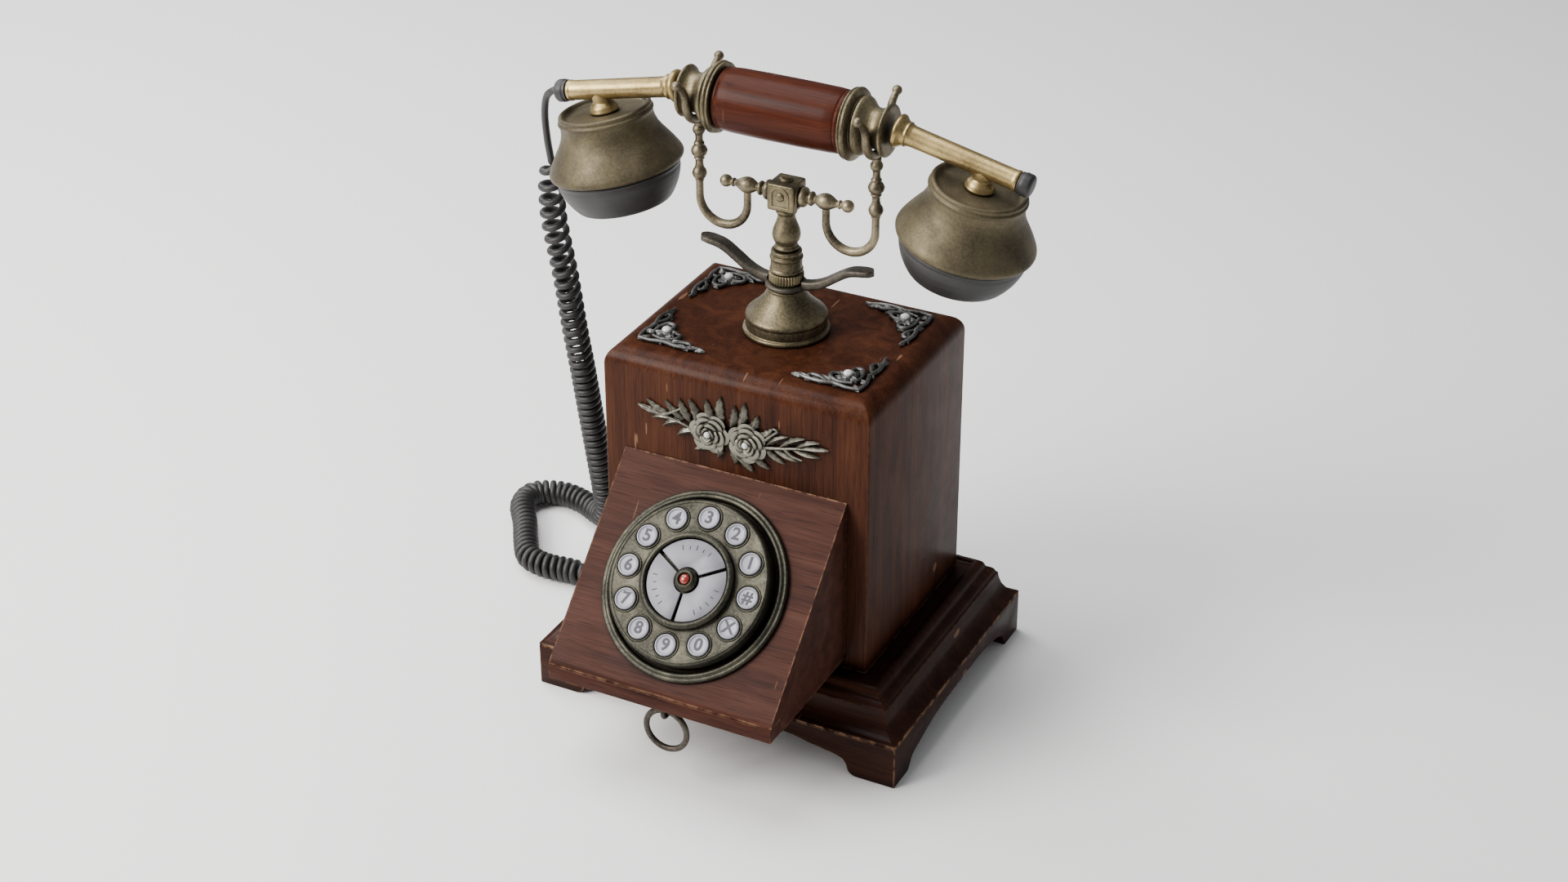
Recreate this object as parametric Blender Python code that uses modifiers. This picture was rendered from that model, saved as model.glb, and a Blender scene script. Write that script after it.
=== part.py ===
"""Table telephone in a wooden cabinet, with a brass column, a two-fork cradle and a separate handset.

Written for Blender 4.5.  Lengths below are millimetres and MM turns them into metres.  The sizes are
laid out from the column's axis, X to the right, -Y to the front and Z up from the table, and the last
step moves everything back by DEPTH_SHIFT so that the telephone's middle stands on the world origin.
"""
import math

import bmesh
import bpy
from mathutils import Vector

MM = 0.001
GAP = 0.3

# Cabinet and base
CABINET_HALF_WIDTH = 67.5
CABINET_HALF_DEPTH = 52.5
CABINET_TOP = 180.0
CABINET_WALL = 8.0
CABINET_EDGE = 9.0
BASE_TOP = 40.0
BASE_HALF_WIDTH = 94.6
BASE_FRONT = -77.7
BASE_REAR = 69.6
SKIRT_TOP = 22.0
SKIRT_WALL = 10.0

# Sloped dial housing
HOUSING_HALF_WIDTH = 57.0
HOUSING_FRONT = -128.5
HOUSING_BOTTOM = 46.0
HOUSING_TOP = 130.0
HOUSING_BACK = -CABINET_HALF_DEPTH - GAP
NOSE_RADIUS = 8.0
HOUSING_WALL = 7.0
PANEL_THICKNESS = 8.0
SLOPE = math.radians(45.0)
FLOOR_TOP = 47.4

# Drawer under the dial and the ring that pulls it
DRAWER_BLOCK_TOP = 53.5
DRAWER_BLOCK_BACK = -117.5
TRAY_HALF_WIDTH = 50.0
TRAY_BACK = -64.0
TRAY_TOP = 53.3
TRAY_WALL = 2.0
TRAY_FLOOR = 1.0
EYE_Y = -121.0
EYE_Z = 41.6
EYE_RADIUS = 3.1
EYE_WIRE = 1.1
RING_PIVOT_Z = 41.4
RING_RADIUS = 10.4
RING_WIRE = 1.5

# Dial, in the slope's own plane: radius and height above the panel
DIAL_DOWN_SLOPE = 54.8
BEZEL_RADIUS = 45.1
PLATE_RADIUS = 38.7
PLATE_TOP = 9.4
INNER_RING_RADIUS = 22.75
KEY_PITCH_RADIUS = 30.4
KEY_RADIUS = 5.2
KEY_TOP = 10.6
CARD_RADIUS = 19.2
CARD_FLOOR = 8.9
HUB_RADIUS = 5.5

# Column, cradle and handset
STEM_BORE = 5.0
STEM_ROD = 4.6
PLUNGER_RADIUS = 2.4
ARM_AXIS_Z = 248.7
BLOCK_HALF = 6.75
HOOK_WIRE = 2.1
HOOK_INNER_X = 19.8
HOOK_OUTER_X = 44.3
HOOK_CENTRE_Z = 238.9
SADDLE_RADIUS = 12.0
HANDSET_Z = 289.0
TUBE_TILT = math.radians(12.5)
TUBE_RADIUS = 4.8
TUBE_START = (53.3, 290.3)
CUP_TOP = (93.7, 272.2)

# Handset cord
CORD_RADIUS = 1.75
CURL_RADIUS = 6.75
GLAND_Y = 5.3
GLAND_Z = 17.7

DEPTH_SHIFT = -(HOUSING_FRONT + BASE_REAR) / 2

COLOURS = {
    "cabinet_wood": ((0.13, 0.035, 0.018), 0.32, 0.0),
    "housing_wood": ((0.075, 0.032, 0.024), 0.42, 0.0),
    "base_wood": ((0.055, 0.022, 0.014), 0.36, 0.0),
    "inner_wood": ((0.22, 0.12, 0.06), 0.7, 0.0),
    "grip_wood": ((0.10, 0.024, 0.014), 0.3, 0.0),
    "aged_brass": ((0.26, 0.20, 0.10), 0.38, 1.0),
    "tube_brass": ((0.42, 0.30, 0.12), 0.3, 1.0),
    "cup_bronze": ((0.20, 0.14, 0.085), 0.45, 1.0),
    "dark_bronze": ((0.12, 0.10, 0.08), 0.42, 1.0),
    "dial_brass": ((0.20, 0.19, 0.13), 0.4, 1.0),
    "pewter": ((0.09, 0.09, 0.085), 0.42, 1.0),
    "black_plastic": ((0.012, 0.011, 0.011), 0.4, 0.0),
    "silver_key": ((0.44, 0.44, 0.47), 0.35, 0.0),
    "lens_plastic": ((0.22, 0.05, 0.03), 0.15, 0.0),
    "board_green": ((0.02, 0.09, 0.04), 0.6, 0.0),
    "steel": ((0.45, 0.45, 0.46), 0.3, 1.0),
}


def clear_scene():
    """Remove what the file starts with."""
    for item in list(bpy.data.objects):
        bpy.data.objects.remove(item, do_unlink=True)


def new_collection(name):
    collection = bpy.data.collections.new(name)
    bpy.context.scene.collection.children.link(collection)
    return collection


clear_scene()
PARTS = new_collection("table_telephone")
CUTTERS = new_collection("cutters")


def material(name):
    """A Principled material with the named finish's colour, roughness and metallic value."""
    colour, roughness, metallic = COLOURS[name]
    made = bpy.data.materials.new(name)
    made.use_nodes = True
    shader = made.node_tree.nodes["Principled BSDF"]
    shader.inputs["Base Color"].default_value = (*colour, 1.0)
    shader.inputs["Roughness"].default_value = roughness
    shader.inputs["Metallic"].default_value = metallic
    return made


def add(name, data, finish, at=(0, 0, 0), turn=(0, 0, 0)):
    """Link an object at a place in millimetres; without a finish it is a tool for a boolean."""
    thing = bpy.data.objects.new(name, data)
    thing.location = Vector(at) * MM
    thing.rotation_euler = turn
    if finish is None:
        CUTTERS.objects.link(thing)
        thing.hide_render = True
        thing.display_type = "WIRE"
        return thing
    PARTS.objects.link(thing)
    data.materials.append(material(finish))
    return thing


def block(name, low, high, finish, bevel=0.0, segments=2, turn=(0, 0, 0)):
    """A box between two corners, with its edges rounded by a Bevel modifier."""
    low = Vector(low)
    high = Vector(high)
    shape = bmesh.new()
    bmesh.ops.create_cube(shape, size=1.0)
    bmesh.ops.scale(shape, vec=(high - low) * MM, verts=shape.verts)
    data = bpy.data.meshes.new(name)
    shape.to_mesh(data)
    shape.free()
    thing = add(name, data, finish, (low + high) / 2, turn)
    if bevel:
        rounded = thing.modifiers.new("edges", "BEVEL")
        rounded.width = bevel * MM
        rounded.segments = segments
    return thing


def turned(name, profile, finish, at=(0, 0, 0), turn=(0, 0, 0), steps=32, closed=False):
    """A turned shape: (radius, height) points from top to bottom on the outer side, spun about Z."""
    points = [(radius * MM, 0.0, height * MM) for radius, height in profile]
    edges = [(i, i + 1) for i in range(len(points) - 1)]
    if closed:
        edges.append((len(points) - 1, 0))
    data = bpy.data.meshes.new(name)
    data.from_pydata(points, edges, [])
    thing = add(name, data, finish, at, turn)
    spin = thing.modifiers.new("spin", "SCREW")
    spin.steps = steps
    spin.render_steps = steps
    spin.use_merge_vertices = True
    spin.merge_threshold = 0.000001
    return thing


def rod(name, radius, low, high, finish, at=(0, 0, 0), turn=(0, 0, 0), steps=24):
    """A plain cylinder along its own Z."""
    return turned(name, [(0, high), (radius, high), (radius, low), (0, low)], finish, at, turn, steps)


def ball(name, radius, at, finish, flat=1.0, segments=12):
    """A sphere, flattened along Z by the given share."""
    shape = bmesh.new()
    bmesh.ops.create_uvsphere(shape, u_segments=segments, v_segments=segments // 2 + 1, radius=radius * MM)
    bmesh.ops.scale(shape, vec=(1, 1, flat), verts=shape.verts)
    data = bpy.data.meshes.new(name)
    shape.to_mesh(data)
    shape.free()
    return add(name, data, finish, at)


def curve_to_mesh(thing, name, finish):
    """Swap a curve for its mesh, so that a boolean can use it."""
    graph = bpy.context.evaluated_depsgraph_get()
    data = bpy.data.meshes.new_from_object(thing.evaluated_get(graph))
    shape = bmesh.new()
    shape.from_mesh(data)
    bmesh.ops.remove_doubles(shape, verts=shape.verts, dist=0.000001)
    bmesh.ops.recalc_face_normals(shape, faces=shape.faces)
    shape.to_mesh(data)
    shape.free()
    data.materials.clear()
    made = add(name, data, finish)
    made.matrix_world = thing.matrix_world.copy()
    bpy.data.objects.remove(thing, do_unlink=True)
    return made


def poly_curve(name, points, cyclic=False):
    """A curve of straight steps through points in millimetres."""
    data = bpy.data.curves.new(name, "CURVE")
    data.dimensions = "3D"
    spline = data.splines.new("POLY")
    spline.points.add(len(points) - 1)
    for target, point in zip(spline.points, points):
        target.co = (*(Vector(point) * MM), 1.0)
    spline.use_cyclic_u = cyclic
    return data


def tube(name, points, radius, finish, at=(0, 0, 0), cyclic=False, as_mesh=False, resolution=2):
    """A round wire along points given from its own origin."""
    data = poly_curve(name, points, cyclic)
    data.bevel_depth = radius * MM
    data.bevel_resolution = resolution
    data.use_fill_caps = not cyclic
    if not as_mesh:
        return add(name, data, finish, at)
    wire = bpy.data.objects.new(name + "_curve", data)
    wire.location = Vector(at) * MM
    CUTTERS.objects.link(wire)
    return curve_to_mesh(wire, name, finish)


def plate(name, outline, low, high, finish, turn, at=(0, 0, 0)):
    """A flat outline between two heights along its own Z."""
    data = poly_curve(name, [(x, y, 0) for x, y in outline], cyclic=True)
    data.dimensions = "2D"
    data.fill_mode = "BOTH"
    data.extrude = (high - low) / 2 * MM
    sheet = bpy.data.objects.new(name + "_curve", data)
    sheet.rotation_euler = turn
    CUTTERS.objects.link(sheet)
    bpy.context.view_layer.update()
    sheet.location = Vector(at) * MM + sheet.matrix_world.to_3x3() @ Vector((0, 0, (low + high) / 2 * MM))
    bpy.context.view_layer.update()
    return curve_to_mesh(sheet, name, finish)


# A plate's outline read as (y, z) and run along X, or as (x, z) and run along -Y
ALONG_X = (math.pi / 2, 0, math.pi / 2)
ALONG_Y = (math.pi / 2, 0, 0)


def combine(target, other, operation):
    """Join a tool to an object or take it away, with an exact boolean."""
    step = target.modifiers.new(other.name, "BOOLEAN")
    step.operation = operation
    step.solver = "EXACT"
    step.object = other


def cut(target, tool):
    """Take a tool away from an object."""
    combine(target, tool, "DIFFERENCE")


def join(target, tool):
    """Add a tool to an object."""
    combine(target, tool, "UNION")


def arc(centre, radius, start, end, count):
    """Points on a circle from one angle in degrees to another."""
    points = []
    for i in range(count + 1):
        angle = math.radians(start + (end - start) * i / count)
        points.append((centre[0] + radius * math.cos(angle), centre[1] + radius * math.sin(angle)))
    return points


def smooth_route(points, spacing):
    """Points a set distance apart on a Catmull-Rom curve through the route's own points."""
    points = [Vector(point) for point in points]
    padded = [points[0] * 2 - points[1], *points, points[-1] * 2 - points[-2]]
    fine = []
    steps = 24
    for a, b, c, d in zip(padded, padded[1:], padded[2:], padded[3:]):
        for i in range(steps):
            t = i / steps
            bend = 2 * a - 5 * b + 4 * c - d
            twist = 3 * b - a - 3 * c + d
            fine.append(0.5 * (2 * b + (c - a) * t + bend * t * t + twist * t ** 3))
    fine.append(points[-1])
    length = sum((q - p).length for p, q in zip(fine, fine[1:]))
    count = max(2, round(length / spacing))
    route = [fine[0]]
    walked = 0.0
    for p, q in zip(fine, fine[1:]):
        walked += (q - p).length
        if walked >= len(route) * length / count and len(route) < count:
            route.append(q)
    route.append(fine[-1])
    return route


def base():
    """The bracket-footed skirt and the moulding that the cabinet stands on."""
    skirt = block("base_skirt",
                  (-BASE_HALF_WIDTH, BASE_FRONT, 0), (BASE_HALF_WIDTH, BASE_REAR, SKIRT_TOP),
                  "base_wood", bevel=0.8, segments=1)
    inside = block("skirt_inside",
                   (SKIRT_WALL - BASE_HALF_WIDTH, BASE_FRONT + SKIRT_WALL, -5),
                   (BASE_HALF_WIDTH - SKIRT_WALL, BASE_REAR - SKIRT_WALL, SKIRT_TOP + 5), None)
    cut(skirt, inside)
    front = [(74, -5), (74, 0), (71, 2), (69.5, 6), (66, 9), (52, 11.5), (38, 14), (18, 15.5)]
    front_arch = plate("front_arch", front + [(-x, z) for x, z in reversed(front)],
                       -BASE_REAR - 5, -BASE_FRONT + 5, None, ALONG_Y)
    cut(skirt, front_arch)
    side = [(-62, -5), (-62, 0), (-59.5, 3), (-57, 6), (-50, 8), (-38, 11), (-26, 12.7), (-2, 13.5),
            (21, 13.5), (35, 12), (44.5, 10), (50, 7), (52, 3), (53.4, 0), (53.4, -5)]
    side_arch = plate("side_arch", side, -BASE_HALF_WIDTH - 5, BASE_HALF_WIDTH + 5, None, ALONG_X)
    cut(skirt, side_arch)

    # Steps of the moulding: how far it stands out from the cabinet, and its height
    steps = [(27.1, SKIRT_TOP + GAP), (26.6, 22.9), (25.5, 23.4), (22.5, 24.6), (19.6, 27.6),
             (18.0, 31.6), (17.2, 35.0), (15.6, 37.2), (13.0, 38.4), (11.6, 40.6), (10.2, 41.8),
             (8.6, 41.9), (7.2, 41.0), (6.0, BASE_TOP)]
    moulding = bmesh.new()
    previous = None
    front_share = (-CABINET_HALF_DEPTH - BASE_FRONT) / steps[0][0]
    rear_share = (BASE_REAR - CABINET_HALF_DEPTH) / steps[0][0]
    for out, height in steps:
        half = CABINET_HALF_WIDTH + out
        near = -CABINET_HALF_DEPTH - out * front_share
        far = CABINET_HALF_DEPTH + out * rear_share
        corners = [(-half, near), (half, near), (half, far), (-half, far)]
        ring = [moulding.verts.new((x * MM, y * MM, height * MM)) for x, y in corners]
        if previous is None:
            moulding.faces.new(list(reversed(ring)))
        else:
            for i in range(4):
                j = (i + 1) % 4
                moulding.faces.new((previous[i], previous[j], ring[j], ring[i]))
        previous = ring
    moulding.faces.new(previous)
    data = bpy.data.meshes.new("base_moulding")
    moulding.to_mesh(data)
    moulding.free()
    add("base_moulding", data, "base_wood")


def cabinet():
    """The hollow cabinet, open at the back behind a screwed cover."""
    shape = bmesh.new()
    bmesh.ops.create_cube(shape, size=1.0)
    height = CABINET_TOP - BASE_TOP - GAP
    bmesh.ops.scale(shape, verts=shape.verts,
                    vec=(2 * CABINET_HALF_WIDTH * MM, 2 * CABINET_HALF_DEPTH * MM, height * MM))
    top_edges = [edge for edge in shape.edges if all(vert.co.z > 0 for vert in edge.verts)]
    bmesh.ops.bevel(shape, geom=top_edges, offset=CABINET_EDGE * MM, offset_type="OFFSET", segments=4,
                    profile=0.5, affect="EDGES")
    data = bpy.data.meshes.new("cabinet_shell")
    shape.to_mesh(data)
    shape.free()
    shell = add("cabinet_shell", data, "cabinet_wood", (0, 0, BASE_TOP + GAP + height / 2))
    floor = BASE_TOP + GAP + CABINET_WALL
    inner_half = CABINET_HALF_WIDTH - CABINET_WALL
    cut(shell, block("cabinet_inside", (-inner_half, CABINET_WALL - CABINET_HALF_DEPTH, floor),
                     (inner_half, CABINET_HALF_DEPTH + 5, CABINET_TOP - CABINET_WALL), None))
    cut(shell, rod("plunger_hole", PLUNGER_RADIUS + GAP, CABINET_TOP - 20, CABINET_TOP + 5, None))
    cut(shell, block("wiring_window", (-30, -CABINET_HALF_DEPTH - 5, 70), (30, 0, 100), None))
    block("rear_cover", (GAP - inner_half, CABINET_HALF_DEPTH - 6.5, floor + GAP),
          (inner_half - GAP, CABINET_HALF_DEPTH - 0.5, CABINET_TOP - CABINET_WALL - GAP),
          "inner_wood", bevel=0.5, segments=1)
    jack = block("line_jack", (-8, CABINET_HALF_DEPTH - 0.2, 62), (8, CABINET_HALF_DEPTH + 7, 78),
                 "black_plastic", bevel=1.0)
    cut(jack, block("jack_socket", (-5, CABINET_HALF_DEPTH + 1, 66), (5, CABINET_HALF_DEPTH + 10, 73),
                    None))
    board_front = CABINET_HALF_DEPTH - 14
    board = block("main_board", (-45, board_front, 62), (45, board_front + 1.6, 122), "board_green")
    for x in (-38, 38):
        for z in (68, 116):
            place = (x, board_front, z)
            post = rod("board_post", 2.5, 1, 14 - 6.5 - GAP, None, place, (-math.pi / 2, 0, 0), 10)
            join(board, post)
    for x, z, half, deep in ((-22, 84, 14, 18), (8, 78, 9, 12), (26, 104, 7, 9)):
        lump = block("board_lump",
                     (x - half, board_front - deep, z - half), (x + half, board_front + 1, z + half),
                     None)
        join(board, lump)


def hook_switch():
    """The switch under the cabinet's top that the cradle's plunger presses."""
    top = CABINET_TOP - CABINET_WALL - GAP
    switch = block("hook_switch", (-9, 6, 146), (9, 20, top), "black_plastic", bevel=0.6, segments=1)
    join(switch, block("switch_leaf", (-3, -4, 157.6), (3, 8, 159.2), None))


def nose_profile(low, high):
    """Points of the housing's rounded front edge between two heights, from low to high."""
    fold = HOUSING_TOP + HOUSING_FRONT - HOUSING_BACK
    centre = (HOUSING_FRONT + NOSE_RADIUS, fold - NOSE_RADIUS * math.tan(SLOPE / 2))
    arc_top = centre[1] + NOSE_RADIUS * math.sin(math.pi - SLOPE)
    first = max(low, centre[1])
    last = min(high, arc_top)
    start = 180 - math.degrees(math.asin((first - centre[1]) / NOSE_RADIUS))
    end = 180 - math.degrees(math.asin(min(1.0, (last - centre[1]) / NOSE_RADIUS)))
    return arc(centre, NOSE_RADIUS, start, end, 4)


def dial_housing():
    """The wedge that carries the dial, hollow and open at the back and for the drawer."""
    outline = [(HOUSING_BACK, HOUSING_BOTTOM), (HOUSING_FRONT, HOUSING_BOTTOM)]
    outline += nose_profile(HOUSING_BOTTOM, HOUSING_TOP)
    outline += [(HOUSING_BACK, HOUSING_TOP)]
    housing = plate("dial_housing", outline, -HOUSING_HALF_WIDTH, HOUSING_HALF_WIDTH, "housing_wood",
                    ALONG_X)
    inner = HOUSING_HALF_WIDTH - HOUSING_WALL
    ceiling = HOUSING_TOP - PANEL_THICKNESS / math.cos(SLOPE)
    tray_front = DRAWER_BLOCK_BACK + GAP
    run = tray_front - HOUSING_BACK
    hollow = [(HOUSING_BACK + 5, FLOOR_TOP), (tray_front, FLOOR_TOP), (tray_front, ceiling + run),
              (HOUSING_BACK, ceiling), (HOUSING_BACK + 5, ceiling)]
    cut(housing, plate("housing_hollow", hollow, -inner, inner, None, ALONG_X))
    cut(housing, block("drawer_front_space",
                       (-HOUSING_HALF_WIDTH - 5, HOUSING_FRONT - 5, HOUSING_BOTTOM - 5),
                       (HOUSING_HALF_WIDTH + 5, tray_front, DRAWER_BLOCK_TOP + GAP), None))
    cut(housing, block("tray_space", (-TRAY_HALF_WIDTH - GAP, tray_front - 3, FLOOR_TOP),
                       (TRAY_HALF_WIDTH + GAP, TRAY_BACK, TRAY_TOP + GAP), None))


def drawer():
    """The shallow drawer: its front is the housing's lip, and its tray lies on the housing's floor."""
    outline = [(DRAWER_BLOCK_BACK, HOUSING_BOTTOM + GAP), (HOUSING_FRONT, HOUSING_BOTTOM + GAP)]
    outline += nose_profile(HOUSING_BOTTOM, DRAWER_BLOCK_TOP)
    outline += [(DRAWER_BLOCK_BACK, DRAWER_BLOCK_TOP)]
    front = plate("drawer", outline, -HOUSING_HALF_WIDTH, HOUSING_HALF_WIDTH, "housing_wood", ALONG_X)
    tray = block("drawer_tray", (-TRAY_HALF_WIDTH, DRAWER_BLOCK_BACK - 4, FLOOR_TOP + GAP),
                 (TRAY_HALF_WIDTH, TRAY_BACK, TRAY_TOP), None)
    join(front, tray)
    floor = FLOOR_TOP + GAP + TRAY_FLOOR
    cut(front, block("drawer_inside",
                     (TRAY_WALL - TRAY_HALF_WIDTH, DRAWER_BLOCK_BACK + TRAY_WALL, floor),
                     (TRAY_HALF_WIDTH - TRAY_WALL, TRAY_BACK - TRAY_WALL, TRAY_TOP + 5), None))

    eye_wire = [(0, y, z) for y, z in arc((0, 0), EYE_RADIUS, 0, 330, 11)]
    eye = tube("drawer_eye", eye_wire, EYE_WIRE, "dark_bronze", (0, EYE_Y, EYE_Z), cyclic=True,
               as_mesh=True)
    collar_top = HOUSING_BOTTOM - EYE_Z
    join(eye, rod("eye_collar", 2.6, EYE_RADIUS, collar_top, None, (0, EYE_Y, EYE_Z), steps=12))
    ring_wire = [(x, 0, z) for x, z in arc((0, -RING_RADIUS), RING_RADIUS, 90, 431, 19)]
    tube("drawer_ring", ring_wire, RING_WIRE, "dark_bronze", (0, EYE_Y, RING_PIVOT_Z), cyclic=True)


def on_slope(right, up, height):
    """A place in millimetres from the dial's middle: along X, up the slope and above the panel."""
    centre = Vector((0, HOUSING_BACK - DIAL_DOWN_SLOPE * math.cos(SLOPE),
                     HOUSING_TOP - DIAL_DOWN_SLOPE * math.sin(SLOPE)))
    along = Vector((0, math.cos(SLOPE), math.sin(SLOPE)))
    normal = Vector((0, -math.sin(SLOPE), math.cos(SLOPE)))
    return centre + Vector((right, 0, 0)) + along * up + normal * height


def dial():
    """The ring, drum, twelve keys, three function keys, hub and lamp lens, all square to the slope."""
    lean = (SLOPE, 0, 0)
    middle = on_slope(0, 0, 0)
    bezel = [(41.6, 3.4), (43.4, 3.2), (44.6, 2.3), (BEZEL_RADIUS, 1.2), (44.8, GAP), (39.4, GAP),
             (39.4, 1.6), (40.3, 1.7), (40.8, 2.8)]
    turned("dial_bezel", bezel, "dial_brass", middle, lean, 40, closed=True)

    under = PLATE_TOP - 2.0
    ring_inner = CARD_RADIUS + 0.5
    drum = [(0, CARD_FLOOR), (ring_inner, CARD_FLOOR), (ring_inner, 12.4), (20.4, 13.0), (22.1, 13.0),
            (INNER_RING_RADIUS, 12.3), (INNER_RING_RADIUS, PLATE_TOP), (37.4, PLATE_TOP), (38.3, 9.0),
            (PLATE_RADIUS, 8.0), (PLATE_RADIUS, GAP), (PLATE_RADIUS - 1.5, GAP),
            (PLATE_RADIUS - 1.5, under), (0, under)]
    plate_drum = turned("dial_plate", drum, "dial_brass", middle, lean, 40)
    names = ("star", "0", "9", "8", "7", "6", "5", "4", "3", "2", "1", "hash")
    places = (4, 5, 6, 7, 8, 9, 10, 11, 12, 1, 2, 3)
    key = [(0, KEY_TOP), (3.4, KEY_TOP), (4.6, 10.3), (KEY_RADIUS, 9.6), (KEY_RADIUS, under - 0.4),
           (6.0, under - 0.4), (6.0, under - 1.8), (0, under - 1.8)]
    for name, place in zip(names, places):
        angle = math.radians(30 * place)
        right = KEY_PITCH_RADIUS * math.sin(angle)
        up = KEY_PITCH_RADIUS * math.cos(angle)
        spot = on_slope(right, up, 0)
        turned("key_" + name, key, "silver_key", spot, lean, 14)
        cut(plate_drum, rod("key_hole", KEY_RADIUS + GAP, 5, 12, None, spot, lean, 14))
    for name, middle_angle in (("top", 90), ("left", 210), ("right", 330)):
        inner = arc((0, 0), HUB_RADIUS + 0.6, middle_angle - 54, middle_angle + 54, 6)
        outer = arc((0, 0), CARD_RADIUS, middle_angle + 57.5, middle_angle - 57.5, 12)
        sector = plate("function_key_" + name, inner + outer, 10.2, 11.6, "silver_key", lean, middle)
        right = 13 * math.cos(math.radians(middle_angle))
        up = 13 * math.sin(math.radians(middle_angle))
        spot = on_slope(right, up, 0)
        join(sector, rod("function_stem", 1.7, 4.5, 10.8, None, spot, lean, 8))
        cut(plate_drum, rod("function_hole", 1.7 + GAP, 5, 12, None, spot, lean, 8))
    hub = [(0, 13.0), (2.9, 13.0), (2.9, 13.9), (3.6, 14.2), (4.8, 13.6), (HUB_RADIUS, 12.4),
           (HUB_RADIUS, CARD_FLOOR + GAP), (0, CARD_FLOOR + GAP)]
    turned("dial_hub", hub, "dial_brass", middle, lean, 24)
    lens = [(0, 15.1), (1.2, 14.9), (2.1, 14.4), (2.55, 13.7), (2.55, 13.0 + GAP), (0, 13.0 + GAP)]
    turned("indicator_lens", lens, "lens_plastic", middle, lean, 16)


def front_ornament():
    """The cast branch with two roses on the cabinet's front."""
    front = -CABINET_HALF_DEPTH - GAP
    branch = [(-49.3, 154.7), (-38, 150.6), (-24, 145.2), (-9, 141.0), (2, 138.6), (10.2, 134.3),
              (12.4, 136.6), (8, 141.8), (16, 143.6), (28, 147.6), (40, 152.4), (47.9, 155.1),
              (38, 157.0), (25, 159.6), (16, 156.4), (10, 158.6), (5.7, 168.8), (0, 160.4),
              (-6.3, 169.0), (-9, 159.4), (-17, 157.8), (-22.7, 163.6), (-26, 155.4), (-38, 156.2)]
    spray = plate("front_ornament", branch, 0, 1.8, "pewter", ALONG_Y, (0, front, 0))
    rose = [(0, 4.4), (2.6, 5.0), (5.0, 4.2), (7.6, 4.6), (9.4, 2.6), (9.4, 0.4), (0, 0.4)]
    for x, z in ((-11.7, 149.4), (7.6, 148.8)):
        join(spray, turned("rose", rose, None, (x, front, z), (math.pi / 2, 0, 0), 20))
    for x, z, angle in ((-36, 153.5, -12), (-25.5, 151.5, 20), (22, 151.5, -8), (34, 153.0, 12)):
        leaf = ball("leaf", 5.0, (x, front - 2.0, z), None, 0.36, 8)
        leaf.rotation_euler = (math.pi / 2, math.radians(angle), 0)
        leaf.scale = (1.25, 0.6, 1.0)
        join(spray, leaf)


def corner_ornaments():
    """A cast corner with a pearl on each corner of the cabinet's top."""
    half = [(22.0, 38.8), (30, 36.2), (38, 37.6), (39.5, 34.0), (42.2, 31.0)]
    rest = [(41.6, 27.2), (44.6, 25.0), (49.2, 24.6), (50.8, 20.0), (53.0, 13.0), (54.4, 6.5),
            (56.0, 14.0), (56.6, 24.0), (56.4, 34.0), (54.6, 38.9), (48.0, 40.6), (36.0, 40.9),
            (28.0, 40.6)]
    names = (("front_left", -1, -1), ("front_right", 1, -1), ("rear_left", -1, 1), ("rear_right", 1, 1))
    for name, side, depth in names:
        outline = [(side * x, depth * y) for x, y in half + rest]
        cast = plate("corner_ornament_" + name, outline, CABINET_TOP + GAP, CABINET_TOP + 2.2, "pewter",
                     (0, 0, 0))
        join(cast, ball("pearl", 3.9, (side * 46.2, depth * 30.5, CABINET_TOP + 2.5), None, 0.55, 10))
        join(cast, ball("scroll", 2.6, (side * 35.5, depth * 38.6, CABINET_TOP + 1.9), None, 0.55, 8))
        join(cast, ball("scroll", 2.6, (side * 53.9, depth * 17.5, CABINET_TOP + 1.9), None, 0.55, 8))


def column():
    """The fixed foot, the two-horned strap, the knurled ring and the sleeve that the stem slides in."""
    foot = [(STEM_BORE, 202.1), (9.0, 202.1), (9.0, 201.5), (9.3, 200.5), (11.0, 196.8), (14.2, 193.0),
            (17.2, 190.3), (19.0, 188.6), (19.0, 182.6), (20.2, 181.9), (20.2, CABINET_TOP + GAP),
            (STEM_BORE, CABINET_TOP + GAP)]
    turned("column_base", foot, "aged_brass", closed=True)

    thick = 2.2
    upper = [(12, 204.6), (20, 208.2), (28, 214.6), (34, 217.7), (43.0, 219.2), (44.6, 219.0)]
    lower = [(x + 0.5, z - thick) for x, z in upper]
    right = upper + list(reversed(lower))
    outline = right + [(-x, z) for x, z in reversed(right)]
    horns = plate("horn_lever", outline, -3.5, 3.5, "dark_bronze", ALONG_Y)
    join(horns, rod("horn_plate", 9.8, 202.4, 204.9, None))
    cut(horns, rod("horn_bore", STEM_BORE, 195, 210, None))

    knurl = [(STEM_BORE, 210.1), (7.6, 210.1), (8.15, 209.5), (8.15, 205.8), (7.6, 205.2),
             (STEM_BORE, 205.2)]
    turned("knurled_ring", knurl, "aged_brass", closed=True)
    sleeve = [(STEM_BORE, 221.2), (6.9, 221.2), (7.2, 220.8), (7.2, 218.2), (7.8, 217.8), (7.8, 210.4),
              (STEM_BORE, 210.4)]
    turned("column_sleeve", sleeve, "aged_brass", steps=24, closed=True)


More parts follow.
